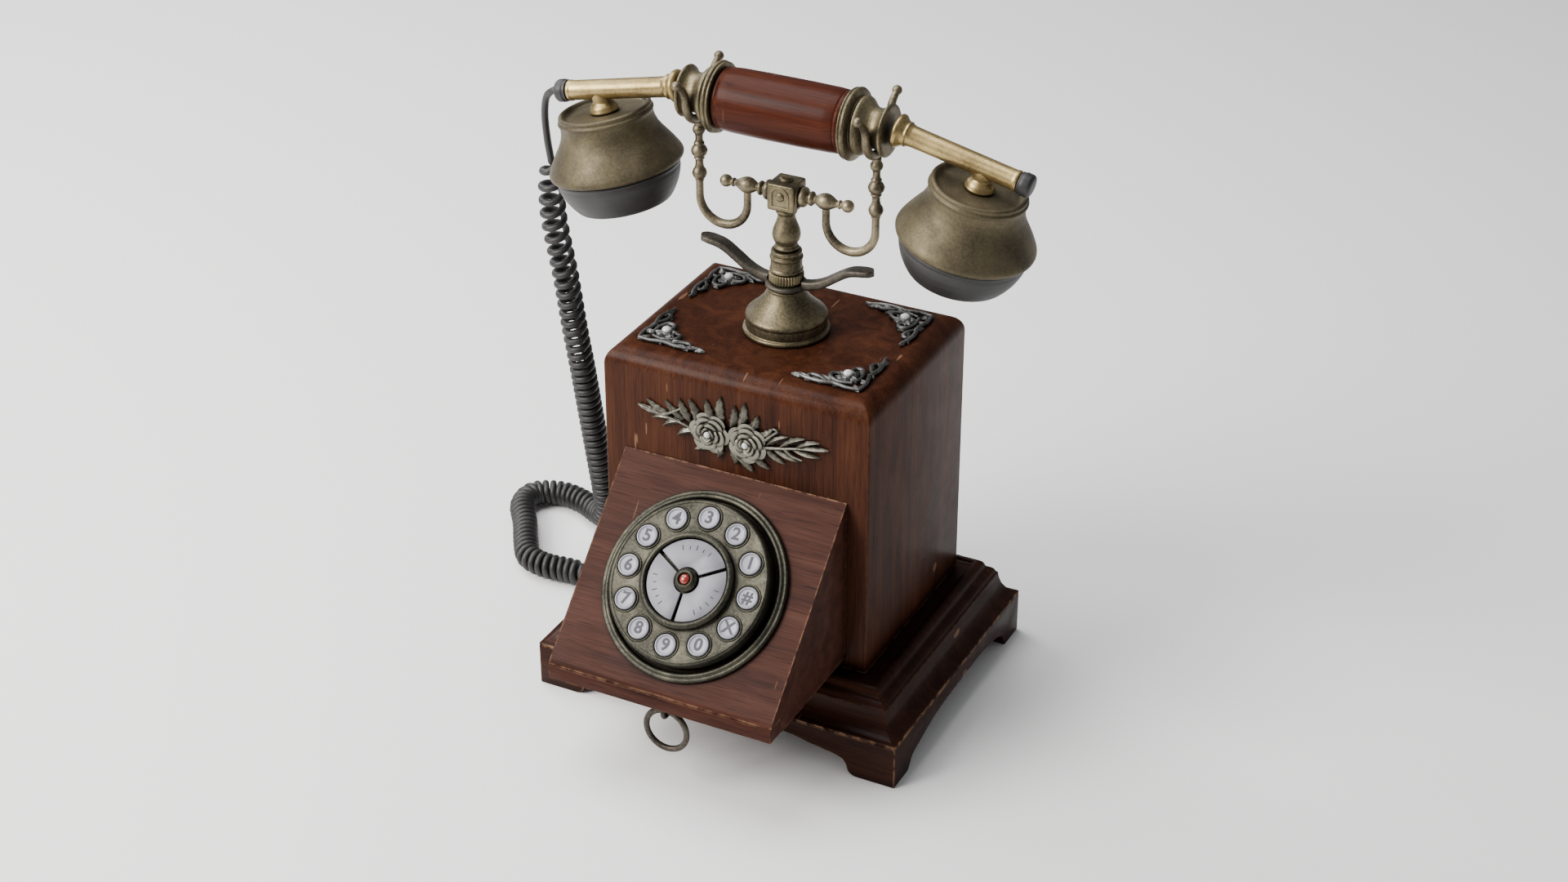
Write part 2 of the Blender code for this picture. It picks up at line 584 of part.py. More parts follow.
def cradle():
    """The sliding stem with its head block and the two hooked arms that hold the handset."""
    stem = [(0, 241.7), (4.6, 241.7), (5.0, 240.9), (5.0, 239.5), (4.4, 238.6), (4.4, 236.2),
            (5.4, 233.6), (6.4, 230.8), (6.6, 228.8), (6.2, 226.4), (5.2, 224.4), (5.0, 223.2),
            (5.6, 222.6), (5.6, 221.5), (STEM_ROD, 221.5), (STEM_ROD, 186.0), (PLUNGER_RADIUS, 186.0),
            (PLUNGER_RADIUS, 159.6), (0, 159.6)]
    turned("cradle_stem", stem, "aged_brass", steps=24)

    head = block("head_block", (-BLOCK_HALF, -BLOCK_HALF, 242), (BLOCK_HALF, BLOCK_HALF, 255.4),
                 "aged_brass", bevel=1.0)
    join(head, turned("head_screw", [(0, 257.2), (2.2, 256.8), (3.2, 255.9), (3.2, 254), (0, 254)], None,
                      steps=12))

    baluster = [(0, 33.6), (1.9, 32.9), (2.95, 30.6), (2.0, 28.4), (1.5, 27.2), (1.6, 25.4), (2.9, 23.4),
                (3.9, 19.8), (3.4, 16.6), (2.2, 14.2), (3.4, 13.2), (3.4, 12.0), (2.6, 10.8), (4.6, 9.4),
                (4.6, 7.05), (0, 7.05)]
    hook_radius = (HOOK_OUTER_X - HOOK_INNER_X) / 2
    hook_middle = (HOOK_OUTER_X + HOOK_INNER_X) / 2
    post = [(0, 275.0), (2.1, 275.0), (2.3, 272.6), (3.0, 271.8), (3.0, 270.2), (2.0, 269.0),
            (2.1, 265.0), (3.0, 264.0), (3.9, 261.0), (3.0, 258.0), (2.0, 256.6), (2.1, 253.4),
            (3.5, 250.8), (3.5, 248.4), (2.1, 246.0), (0, 246.0)]
    prong = [(12.4, HANDSET_Z + 1.5), (14.2, HANDSET_Z + 5.4), (17.0, HANDSET_Z + 8.4),
             (19.9, HANDSET_Z + 10)]
    saddle = [(-y, z) for y, z in reversed(prong)]
    saddle += arc((0, HANDSET_Z), SADDLE_RADIUS, 184, 356, 12) + prong
    for name, side in (("left", -1), ("right", 1)):
        arm = turned("cradle_arm_" + name, baluster, "dark_bronze", (0, 0, ARM_AXIS_Z),
                     (0, side * math.pi / 2, 0), 14)
        bend = arc((hook_middle, HOOK_CENTRE_Z), hook_radius, 180, 360, 12)
        wire = [(HOOK_INNER_X, ARM_AXIS_Z), *bend, (HOOK_OUTER_X, 248.0)]
        hook = tube("hook", [(side * x, 0, z) for x, z in wire], HOOK_WIRE, None, as_mesh=True)
        join(arm, hook)
        join(arm, turned("post", post, None, (side * HOOK_OUTER_X, 0, 0), steps=14))
        fork = tube("fork", [(0, y, z) for y, z in saddle], HOOK_WIRE, None, (side * HOOK_OUTER_X, 0, 0),
                    as_mesh=True)
        join(arm, fork)
        for y in (-19.9, 19.9):
            join(arm, ball("prong_ball", 2.7, (side * HOOK_OUTER_X, y, HANDSET_Z + 10), None, 1.0, 8))


def handset():
    """The handset: wooden grip, turned collars, drooping tubes and the two bell-shaped cups."""
    grip = [(0, 31.2), (13.6, 31.2), (14.4, 29.8), (14.7, 15.0), (14.8, 0.0), (14.7, -15.0),
            (14.4, -29.8), (13.6, -31.2), (0, -31.2)]
    turned("handset_grip", grip, "grip_wood", (0, 0, HANDSET_Z), (0, math.pi / 2, 0), 32)
    collar = [(0, 51.0), (10.8, 51.0), (12.0, 50.2), (12.0, 48.8), (10.4, 47.8), (9.4, 46.0),
              (9.3, 43.6), (9.8, 42.2), (11.2, 40.6), (13.2, 38.8), (13.5, 37.0), (13.3, 35.6),
              (15.6, 35.0), (16.5, 34.2), (16.5, 32.4), (15.6, 31.5), (0, 31.5)]
    down = TUBE_TILT
    reach = (118.0 - TUBE_START[0]) / math.cos(down)
    tube_end = (111.6 - TUBE_START[0]) / math.cos(down)
    bar = [(0, tube_end), (TUBE_RADIUS, tube_end), (TUBE_RADIUS, 6.0), (6.2, 4.4), (7.6, 2.4), (7.6, 0.4),
           (6.6, -0.4), (0, -0.4)]
    cap = [(0, reach), (4.4, reach), (5.3, reach - 1.0), (5.4, reach - 5.0), (5.0, tube_end + GAP),
           (0, tube_end + GAP)]
    shell = [(0, -1.0), (19.2, -1.0), (19.6, 0), (21.7, 0), (22.1, -2.2), (22.7, -3.0), (22.1, -4.2),
             (22.3, -8.0), (23.8, -12.4), (27.0, -17.2), (29.8, -22.0), (31.4, -25.2), (31.8, -26.6),
             (31.2, -28.0), (29.6, -29.0), (28.9, -29.0), (28.9, -25.4), (25.2, -18.4), (22.0, -13.2),
             (20.4, -8.0), (20.2, -3.2), (0, -3.2)]
    lip = 29.0 + GAP
    mouth = [(26.6, -25.6), (28.4, -25.6), (28.4, -lip), (29.4, -lip), (29.3, -31.5), (28.4, -35.6),
             (26.6, -39.8), (24.2, -43.6), (22.4, -46.0), (21.4, -46.5), (0, -46.5), (0, -44.5),
             (20.6, -44.5), (22.6, -42.0), (25.0, -38.0), (26.4, -34.0), (26.6, -31.0)]
    capsule = [(0, -30.0), (17.5, -30.0), (18.5, -31.0), (18.5, -40.0), (15.0, -43.0), (0, -44.0)]
    for name, side in (("left", -1), ("right", 1)):
        across = (0, side * math.pi / 2, 0)
        turned("grip_collar_" + name, collar, "aged_brass", (0, 0, HANDSET_Z), across, 24)
        start = (side * TUBE_START[0], 0, TUBE_START[1])
        along = (0, side * (math.pi / 2 + down), 0)
        pipe = turned("handset_tube_" + name, bar, "tube_brass", start, along, 20)
        turned("tube_cap_" + name, cap, "black_plastic", start, along, 20)
        cup_at = (side * CUP_TOP[0], 0, CUP_TOP[1])
        cup_lean = (0, side * down, 0)
        neck = rod("cup_neck", 6.0, -0.7, 8.0, None, cup_at, cup_lean, 16)
        join(pipe, neck)
        end = "transmitter" if side < 0 else "receiver"
        turned(end + "_shell", shell, "cup_bronze", cup_at, cup_lean, 36)
        face = turned(end + "_cap", mouth, "black_plastic", cup_at, cup_lean, 32, closed=True)
        turned(end + "_capsule", capsule, "steel", cup_at, cup_lean, 20)


def cord():
    """The handset's cord: a straight lead, the curled length as one fat tube, a tail and its gland."""
    lead = [(-118.7, 0, 275.8), (-121.6, 0.3, 274.9), (-126.2, 2.6, 270.0), (-129.2, 5.4, 260.0),
            (-130.2, 8, 247), (-129.8, 10, 234.4)]
    tube("cord_lead", smooth_route(lead, 4.0), CORD_RADIUS, "black_plastic")
    curl = [(-129.8, 10, 234.0), (-131.5, 12, 218.8), (-133.4, 16, 199.5), (-132.2, 22, 168.3),
            (-132.0, 28, 136.7), (-131.4, 33, 111.1), (-131.0, 38, 84.2), (-130.0, 43, 53.5),
            (-129.6, 47, 31.0), (-132.5, 52, 14.0), (-142, 60.5, 7.6), (-155, 67.0, 7.0),
            (-170, 69.5, 7.0), (-183, 63.0, 7.0), (-183, 50.0, 7.0), (-172, 34.5, 7.0),
            (-162, 19.0, 7.0), (-153, 7.6, 7.0), (-141, 4.2, 7.0), (-128, 5.3, 7.0),
            (-115.5, GLAND_Y, 7.0)]
    tube("cord_coiled", smooth_route(curl, 9.0), CURL_RADIUS, "black_plastic")
    tail = [(-115.2, GLAND_Y, 7.0), (-111.5, GLAND_Y, 7.8), (-108.0, GLAND_Y, 11.0),
            (-105.2, GLAND_Y, 15.0), (-102.6, GLAND_Y, 17.2), (-99.9, GLAND_Y, GLAND_Z)]
    tube("cord_tail", smooth_route(tail, 2.6), CORD_RADIUS, "black_plastic")
    gland = [(0, 4.7), (2.4, 4.7), (2.9, 3.8), (3.0, 1.6), (3.5, 1.4), (3.5, 0), (0, 0)]
    turned("cord_gland", gland, "black_plastic", (-BASE_HALF_WIDTH - GAP, GLAND_Y, GLAND_Z),
           (0, -math.pi / 2, 0), 16)


base()
cabinet()
hook_switch()
dial_housing()
drawer()
dial()
front_ornament()
corner_ornaments()
column()
cradle()
handset()
cord()

for item in bpy.data.objects:
    item.location.y += DEPTH_SHIFT * MM
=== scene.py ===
"""The looks of the table telephone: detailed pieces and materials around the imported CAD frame.

Shapes are written in millimetres from the column's axis, X to the right, -Y to the front, Z up from
the table, as in the part's own source; Builder.mesh turns them into metres in the row frame.
"""

import math
import random

import bmesh
import bpy
from mathutils import Euler, Matrix, Vector


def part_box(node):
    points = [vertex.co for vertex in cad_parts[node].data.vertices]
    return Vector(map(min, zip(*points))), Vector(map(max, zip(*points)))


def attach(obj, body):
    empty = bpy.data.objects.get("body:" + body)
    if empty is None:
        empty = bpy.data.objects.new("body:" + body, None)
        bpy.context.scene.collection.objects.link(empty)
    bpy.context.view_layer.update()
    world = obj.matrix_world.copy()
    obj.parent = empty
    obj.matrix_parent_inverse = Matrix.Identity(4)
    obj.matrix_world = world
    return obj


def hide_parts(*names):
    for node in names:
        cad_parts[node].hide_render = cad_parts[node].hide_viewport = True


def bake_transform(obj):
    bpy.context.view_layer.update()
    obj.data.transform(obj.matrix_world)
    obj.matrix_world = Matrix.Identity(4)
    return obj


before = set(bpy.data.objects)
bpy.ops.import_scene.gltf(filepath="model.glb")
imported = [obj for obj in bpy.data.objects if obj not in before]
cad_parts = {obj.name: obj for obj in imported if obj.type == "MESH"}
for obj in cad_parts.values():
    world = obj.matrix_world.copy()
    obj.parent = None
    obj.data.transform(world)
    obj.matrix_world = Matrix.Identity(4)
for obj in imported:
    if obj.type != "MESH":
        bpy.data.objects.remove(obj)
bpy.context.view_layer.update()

MM = 0.001
GAP = 0.3          # millimetres between neighbouring pieces
PAST = 5           # how far a cutting tool runs past what it cuts
FOOT_LOW, FOOT_HIGH = (Vector(corner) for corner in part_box("column_base"))
COLUMN_Y = (FOOT_LOW.y + FOOT_HIGH.y) / 2

# Driving dimensions, the same as the part's, in millimetres
CABINET_HALF_WIDTH = 67.5
CABINET_HALF_DEPTH = 52.5
CABINET_TOP = 180.0
CABINET_WALL = 8.0
CABINET_EDGE = 9.0
BASE_TOP = 40.0
BASE_HALF_WIDTH = 94.6
BASE_FRONT = -77.7
BASE_REAR = 69.6
SKIRT_TOP = 22.0
SKIRT_WALL = 10.0
HOUSING_HALF_WIDTH = 57.0
HOUSING_FRONT = -128.5
HOUSING_BOTTOM = 46.0
HOUSING_TOP = 130.0
HOUSING_BACK = -52.8
NOSE_RADIUS = 8.0
SLOPE = math.radians(45.0)
FLOOR_TOP = 47.4
DRAWER_BLOCK_TOP = 53.5
DRAWER_BLOCK_BACK = -117.5
TRAY_HALF_WIDTH = 50.0
TRAY_BACK = -64.0
TRAY_TOP = 53.3
EYE_Y = -121.0
EYE_Z = 41.6
RING_PIVOT_Z = 41.4
DIAL_DOWN_SLOPE = 54.8
KEY_PITCH_RADIUS = 30.4
CARD_RADIUS = 19.2
ARM_AXIS_Z = 248.7
HOOK_INNER_X = 19.8
HOOK_OUTER_X = 44.3
HOOK_CENTRE_Z = 238.9
HANDSET_Z = 289.0
TUBE_TILT = math.radians(12.5)
TUBE_START = (53.3, 290.3)
CUP_TOP = (93.7, 272.2)
CORD_RADIUS = 1.75
CURL_RADIUS = 6.75
GLAND_Y = 5.3
GLAND_Z = 17.7

# Curls of the cord, in millimetres: their pitch is CLOSE_PITCH, and more towards the hanging top
CLOSE_PITCH = 3.9
CURL_SIDES = 16

# The same places serve the castings and their pearls
ROSES = ((-11.7, 149.4, 9.4, 0.4), (7.6, 148.8, 9.2, 1.1))
FLOWER = (46.2, 30.5)


def place(x, y, z):
    """A point in the row frame, in metres, from millimetres about the column."""
    return Vector((x * MM, y * MM + COLUMN_Y, z * MM))


# ---------------------------------------------------------------- camera, light and floor

def camera():
    """A camera at the photograph's angle."""
    data = bpy.data.cameras.new("camera")
    data.lens = 62.3
    data.sensor_width = 36.0
    data.clip_start = 0.01
    eye = bpy.data.objects.new("camera", data)
    eye.location = place(499.9, -991.3, 764.1)
    eye.rotation_euler = (math.radians(59.88), 0, math.radians(26.82))
    bpy.context.scene.collection.objects.link(eye)
    bpy.context.scene.camera = eye


def area_light(name, at, aim, size, power, colour):
    data = bpy.data.lights.new(name, "AREA")
    data.shape = "RECTANGLE"
    data.size, data.size_y = size
    data.energy = power
    data.color = colour
    lamp = bpy.data.objects.new(name, data)
    lamp.location = at
    lamp.rotation_euler = (Vector(aim) - Vector(at)).to_track_quat("-Z", "Y").to_euler()
    bpy.context.scene.collection.objects.link(lamp)


def studio():
    """Soft light from the front left and above, a weak one from the left rear, a pale floor and surround."""
    world = bpy.data.worlds.new("surround")
    world.use_nodes = True
    back = world.node_tree.nodes["Background"]
    back.inputs["Color"].default_value = (0.93, 0.94, 0.96, 1.0)
    back.inputs["Strength"].default_value = 0.32
    bpy.context.scene.world = world
    area_light("key_light", (-0.95, -1.0, 1.1), (0, 0, 0.12), (0.9, 0.9), 50, (1.0, 0.97, 0.93))
    area_light("top_light", (-0.5, 0.1, 1.5), (0, 0, 0.1), (1.1, 1.1), 25, (1.0, 1.0, 1.0))
    area_light("rim_light", (-1.3, 0.6, 0.8), (0, 0, 0.15), (0.5, 0.5), 7, (0.95, 0.97, 1.0))
    plane = bpy.data.meshes.new("floor")
    reach = 6.0
    plane.from_pydata([(-reach, -reach, 0), (reach, -reach, 0), (reach, reach, 0), (-reach, reach, 0)], [],
                      [(0, 1, 2, 3)])
    floor = bpy.data.objects.new("floor", plane)
    paint = bpy.data.materials.new("floor_paint")
    paint.use_nodes = True
    shader = paint.node_tree.nodes["Principled BSDF"]
    shader.inputs["Base Color"].default_value = (0.93, 0.93, 0.93, 1.0)
    shader.inputs["Roughness"].default_value = 0.8
    plane.materials.append(paint)
    bpy.context.scene.collection.objects.link(floor)


# ---------------------------------------------------------------- materials

class Shader:
    """A material under construction: short calls for nodes, links and the masks that finishes share."""

    def __init__(self, name):
        self.material = bpy.data.materials.new(name)
        self.material.use_nodes = True
        self.tree = self.material.node_tree
        self.surface = self.tree.nodes["Principled BSDF"]
        self.place = self.node("ShaderNodeTexCoord").outputs["Object"]

    def node(self, kind, inputs=None, **settings):
        made = self.tree.nodes.new(kind)
        for name, value in settings.items():
            setattr(made, name, value)
        for name, value in (inputs or {}).items():
            if isinstance(value, bpy.types.NodeSocket):
                self.tree.links.new(value, made.inputs[name])
            else:
                made.inputs[name].default_value = value
        return made

    def set(self, name, value):
        """Set a socket of the surface, or link a pattern to it."""
        if isinstance(value, bpy.types.NodeSocket):
            self.tree.links.new(value, self.surface.inputs[name])
        else:
            self.surface.inputs[name].default_value = value

    def math(self, operation, a, b=0.0, clamp=False):
        return self.node("ShaderNodeMath", {0: a, 1: b}, operation=operation, use_clamp=clamp).outputs[0]

    def noise(self, scale, detail, stretch=(1, 1, 1), turn=(0, 0, 0), distortion=0.0, shift=(0, 0, 0)):
        """Noise over the row frame; a small stretch value draws the pattern out along that axis."""
        mapped = self.node("ShaderNodeMapping", {"Vector": self.place, "Scale": stretch, "Rotation": turn,
                                                 "Location": shift})
        return self.node("ShaderNodeTexNoise",
                         {"Vector": mapped.outputs[0], "Scale": scale, "Detail": detail,
                          "Distortion": distortion, "Roughness": 0.55}).outputs["Fac"]

    def ramp(self, value, stops):
        """A ramp through (place, colour) stops; a plain number stands for a grey."""
        made = self.node("ShaderNodeValToRGB", {"Fac": value})
        band = made.color_ramp
        while len(band.elements) < len(stops):
            band.elements.new(0.5)
        for element, (spot, colour) in zip(band.elements, stops):
            element.position = spot
            if not isinstance(colour, tuple):
                colour = (colour, colour, colour)
            element.color = (*colour, 1.0)
        return made.outputs["Color"]

    def mix(self, share, a, b, blend="MIX"):
        made = self.node("ShaderNodeMix", data_type="RGBA", blend_type=blend, clamp_factor=True)
        for socket, value in ((made.inputs[0], share), (made.inputs[6], a), (made.inputs[7], b)):
            if isinstance(value, bpy.types.NodeSocket):
                self.tree.links.new(value, socket)
            elif isinstance(value, tuple):
                socket.default_value = (*value, 1.0)
            else:
                socket.default_value = value
        return made.outputs[2]

    def edges(self, radius, low, high):
        """White on edges and corners: where a rounded normal leaves the true one."""
        soft = self.node("ShaderNodeBevel", {"Radius": radius * MM}, samples=6).outputs[0]
        true = self.node("ShaderNodeNewGeometry").outputs["Normal"]
        along = self.node("ShaderNodeVectorMath", {0: soft, 1: true}, operation="DOT_PRODUCT")
        return self.ramp(self.math("SUBTRACT", 1.0, along.outputs["Value"]), [(low, 0.0), (high, 1.0)])

    def hollows(self, distance, low, high):
        """White in the open and black in corners and crevices, where shade falls: the mask for painted
        shade.
        """
        near = self.node("ShaderNodeAmbientOcclusion", {"Distance": distance * MM}, samples=6).outputs["AO"]
        return self.ramp(near, [(low, 0.0), (high, 1.0)])

    def bump(self, height, strength, distance, under=None):
        inputs = {"Height": height, "Strength": strength, "Distance": distance * MM}
        if under is not None:
            inputs["Normal"] = under
        return self.node("ShaderNodeBump", inputs).outputs[0]


def wood(name, shades, grain, gloss, worn, wear, coat, mottle=0.35):
    """Stained wood: long figure, fine fibres, pores, rubbed edges, painted shade in corners and a lacquer
    coat.
    """
    made = Shader(name)
    figure_stretch = tuple(0.09 if axis == grain else 1.0 for axis in "XYZ")
    fibre_stretch = tuple(0.025 if axis == grain else 1.0 for axis in "XYZ")
    figure = made.noise(115, 5, figure_stretch, distortion=0.9)
    fibre = made.noise(1500, 3, fibre_stretch)
    pores = made.ramp(made.noise(2600, 2, fibre_stretch, shift=(0.3, 0.1, 0.2)), [(0.30, 0.0), (0.40, 1.0)])
    cloud = made.noise(16, 4, shift=(0.7, 0.2, 0.4))
    colour = made.ramp(figure, [(0.25, shades[0]), (0.45, shades[1]), (0.6, shades[2]), (0.8, shades[3])])
    colour = made.mix(0.35, colour, made.ramp(fibre, [(0.3, shades[0]), (0.7, shades[3])]))
    colour = made.mix(mottle, colour, made.ramp(cloud, [(0.3, 0.35), (0.7, 1.0)]), "MULTIPLY")
    colour = made.mix(made.math("SUBTRACT", 1.0, pores), colour, shades[0])
    # Painted shade: the colour darkens in corners and crevices, where ambient light is blocked
    painted_shade = made.hollows(9, 0.35, 0.85)
    colour = made.mix(0.75, colour, made.mix(painted_shade, (0.10, 0.08, 0.07), (1.0, 1.0, 1.0)), "MULTIPLY")
    patchy = made.ramp(made.noise(210, 5, shift=(0.1, 0.9, 0.3)), [(0.42, 0.0), (0.60, 1.0)])
    rubbed = made.math("MULTIPLY", made.edges(1.3, 0.02, 0.10), patchy)
    rubbed = made.math("MULTIPLY", rubbed, wear, clamp=True)
    colour = made.mix(rubbed, colour, worn)
    nick_field = made.noise(420, 1, (1.0, 0.12, 0.10), turn=(0.5, 0.3, 0.9))
    nicks = made.ramp(nick_field, [(0.755, 0.0), (0.77, 1.0)])
    colour = made.mix(made.math("MULTIPLY", nicks, 0.4 * wear), colour, worn)
    made.set("Base Color", colour)
    rough = made.math("ADD", gloss, made.math("MULTIPLY", made.noise(60, 5, shift=(0.5, 0.5, 0.1)), 0.28))
    rough = made.math("ADD", rough, made.math("MULTIPLY", rubbed, 0.25), clamp=True)
    made.set("Roughness", rough)
    made.set("Specular IOR Level", 0.03)
    made.set("Coat Weight", coat)
    made.set("Coat Roughness", 0.28)
    ripple = made.bump(made.noise(38, 3, shift=(0.2, 0.6, 0.8)), 0.25, 0.8)
    made.set("Normal", made.bump(made.math("MULTIPLY", fibre, pores), 0.35, 0.12, ripple))
    return made.material


def metal(name, bright, mid, dark, rough, dents=0.15, metallic=0.9, hollow=4.0):
    """Old brass: mottled patina, brown patina and painted shade in the hollows, beads and edges rubbed
    bright, finely pitted.
    """
    made = Shader(name)
    cloud = made.noise(55, 6, distortion=0.6)
    speck = made.noise(900, 3, shift=(0.3, 0.2, 0.9))
    colour = made.ramp(cloud, [(0.3, dark), (0.5, mid), (0.72, bright)])
    colour = made.mix(0.3, colour, made.ramp(speck, [(0.35, dark), (0.65, bright)]))
    rubbed = made.edges(0.8, 0.015, 0.09)
    colour = made.mix(made.math("MULTIPLY", rubbed, 0.55), colour, bright)
    # Brown patina and painted shade: darker in hollows and where parts meet
    deep = made.hollows(hollow, 0.25, 0.85)
    colour = made.mix(0.8, colour, made.mix(deep, (0.16, 0.13, 0.11), (1.0, 1.0, 1.0)), "MULTIPLY")
    made.set("Base Color", colour)
    made.set("Metallic", metallic)
    spread = made.math("MULTIPLY", made.noise(140, 5, shift=(0.6, 0.1, 0.3)), 0.34)
    made.set("Roughness", made.math("ADD", rough - 0.12, spread, clamp=True))
    wavy = made.bump(made.noise(48, 3, shift=(0.9, 0.4, 0.1)), dents, 1.2)
    made.set("Normal", made.bump(speck, 0.18, 0.12, wavy))
    return made.material


def plastic(name, colour, dusty, rough, grain=0.25, metallic=0.0, coat=0.0):
    """Moulded plastic with a fine grain, a little dust, painted shade in its hollows and uneven gloss."""
    made = Shader(name)
    cloud = made.noise(70, 6)
    fine = made.noise(1400, 3, shift=(0.2, 0.7, 0.4))
    tone = made.mix(made.ramp(cloud, [(0.45, 0.0), (0.8, 0.8)]), colour, dusty)
    tone = made.mix(made.math("MULTIPLY", made.edges(0.6, 0.02, 0.12), 0.4), tone, dusty)
    # Painted shade: darker in hollows and where parts meet
    deep = made.hollows(3, 0.3, 0.8)
    tone = made.mix(0.7, tone, made.mix(deep, (0.25, 0.24, 0.23), (1.0, 1.0, 1.0)), "MULTIPLY")
    made.set("Base Color", tone)
    made.set("Metallic", metallic)
    made.set("Coat Weight", coat)
    made.set("Roughness", made.math("ADD", rough - 0.1, made.math("MULTIPLY", cloud, 0.3), clamp=True))
    made.set("Normal", made.bump(fine, grain, 0.1))
    return made.material


CABINET_SHADES = ((0.0102, 0.0032, 0.0018), (0.0391, 0.0112, 0.0057), (0.0646, 0.02, 0.0088),
                  (0.0918, 0.032, 0.0141))
HOUSING_SHADES = ((0.0165, 0.0067, 0.0053), (0.045, 0.0158, 0.0112), (0.066, 0.024, 0.0165),
                  (0.0938, 0.0375, 0.0255))
BASE_SHADES = ((0.0076, 0.0029, 0.0021), (0.0231, 0.0076, 0.0046), (0.0357, 0.0118, 0.0067),
               (0.0546, 0.0193, 0.0109))
GRIP_SHADES = ((0.0162, 0.0034, 0.0019), (0.045, 0.0097, 0.0049), (0.0594, 0.0139, 0.0067),
               (0.0792, 0.021, 0.0101))
BOARD_SHADES = ((0.06, 0.03, 0.013), (0.12, 0.066, 0.03), (0.165, 0.094, 0.045), (0.21, 0.125, 0.065))
WORN_WOOD = (0.36, 0.20, 0.11)

FINISHES = {
    "cabinet": wood("cabinet_mahogany", CABINET_SHADES, "Z", 0.26, WORN_WOOD, 0.9, 0.08),
    "housing": wood("housing_stain", HOUSING_SHADES, "X", 0.34, WORN_WOOD, 0.45, 0.03, 0.25),
    "base": wood("base_stain", BASE_SHADES, "X", 0.26, WORN_WOOD, 1.0, 0.1),
    "grip": wood("grip_wood", GRIP_SHADES, "X", 0.22, (0.30, 0.12, 0.06), 0.4, 0.1, 0.2),
    "board": wood("raw_board", BOARD_SHADES, "Z", 0.55, (0.5, 0.36, 0.2), 0.4, 0.0),
    "brass": metal("aged_brass", (0.30, 0.25, 0.145), (0.13, 0.108, 0.064), (0.052, 0.042, 0.027), 0.42),
    "tube": metal("tube_brass", (0.52, 0.39, 0.17), (0.34, 0.25, 0.11), (0.16, 0.115, 0.05), 0.33, 0.08),
    "cup": metal("cup_bronze", (0.15, 0.124, 0.07), (0.096, 0.078, 0.045), (0.05, 0.04, 0.026), 0.52, 0.45,
                 metallic=0.75),
    "bronze": metal("dark_bronze", (0.34, 0.285, 0.18), (0.14, 0.115, 0.075), (0.05, 0.042, 0.03), 0.42),
    "horn": metal("horn_bronze", (0.15, 0.13, 0.10), (0.065, 0.057, 0.047), (0.03, 0.027, 0.023), 0.46),
    "dial": metal("dial_brass", (0.1, 0.095, 0.068), (0.034, 0.033, 0.026), (0.014, 0.0135, 0.011),
                  0.45, 0.08),
    "pewter": metal("dark_pewter", (0.24, 0.24, 0.23), (0.06, 0.06, 0.058), (0.02, 0.02, 0.02), 0.42,
                    metallic=0.8, hollow=2.0),
    "relief": metal("relief_bronze", (0.30, 0.285, 0.23), (0.11, 0.104, 0.083), (0.035, 0.032, 0.026), 0.42,
                    metallic=0.8, hollow=2.5),
    "pearl": plastic("pearl", (0.62, 0.63, 0.62), (0.8, 0.8, 0.78), 0.22, 0.05, coat=0.6),
    "black": plastic("black_plastic", (0.012, 0.011, 0.011), (0.036, 0.034, 0.032), 0.46),
    "cord": plastic("cord_jacket", (0.012, 0.011, 0.011), (0.034, 0.032, 0.03), 0.46, 0.35),
    "key": plastic("key_silver", (0.20, 0.20, 0.232), (0.31, 0.31, 0.345), 0.38, 0.15, metallic=0.25),
    "card": plastic("card_silver", (0.14, 0.14, 0.162), (0.235, 0.235, 0.255), 0.42, 0.3, metallic=0.25),
    "ink": plastic("ink", (0.02, 0.02, 0.035), (0.05, 0.05, 0.07), 0.5),
    "lens": plastic("lens_red", (0.22, 0.018, 0.012), (0.34, 0.05, 0.03), 0.14, 0.02, coat=0.8),
    "steel": metal("steel", (0.62, 0.62, 0.62), (0.42, 0.42, 0.42), (0.25, 0.25, 0.25), 0.35, 0.05),
    "green": plastic("solder_mask", (0.015, 0.075, 0.03), (0.03, 0.12, 0.05), 0.45),
}


# ---------------------------------------------------------------- mesh building

def fillet(profile, radius):
    """The profile with each corner swapped for a short arc, no longer than half its neighbours."""
    points = [Vector(point) for point in profile]
    made = [points[0]]
    for before, corner, after in zip(points, points[1:], points[2:]):
        to_before = before - corner
        to_after = after - corner
        if to_before.length < 1e-6 or to_after.length < 1e-6:
            continue
        turn = math.pi - to_before.angle(to_after)
        reach = min(radius, 0.48 * to_before.length, 0.48 * to_after.length)
        if turn < 0.05 or reach < 0.02:
            made.append(corner)
            continue
        start = corner + to_before.normalized() * reach
        end = corner + to_after.normalized() * reach
        steps = max(2, min(6, round(turn / 0.3)))
        for i in range(steps + 1):
            t = i / steps
            made.append(start * (1 - t) ** 2 + corner * (2 * t * (1 - t)) + end * t * t)
    made.append(points[-1])
    return [tuple(point) for point in made]


def arc(centre, radius, start, end, count):
    """Points on a circle from one angle in degrees to another."""
    points = []
    for i in range(count + 1):
        angle = math.radians(start + (end - start) * i / count)
        points.append((centre[0] + radius * math.cos(angle), centre[1] + radius * math.sin(angle)))
    return points


def smooth_line(points, steps):
    """A Catmull-Rom curve through points of any dimension."""
    points = [Vector(point) for point in points]
    padded = [points[0] * 2 - points[1], *points, points[-1] * 2 - points[-2]]
    fine = []
    for a, b, c, d in zip(padded, padded[1:], padded[2:], padded[3:]):
        for i in range(steps):
            t = i / steps
            bend = 2 * a - 5 * b + 4 * c - d
            twist = 3 * b - a - 3 * c + d
            fine.append(0.5 * (2 * b + (c - a) * t + bend * t * t + twist * t ** 3))
    fine.append(points[-1])
    return fine


def seat(at, turn=(0, 0, 0)):
    """A matrix that puts a local shape at a place in millimetres, turned by Euler angles."""
    return Matrix.Translation(at) @ Euler(turn).to_matrix().to_4x4()


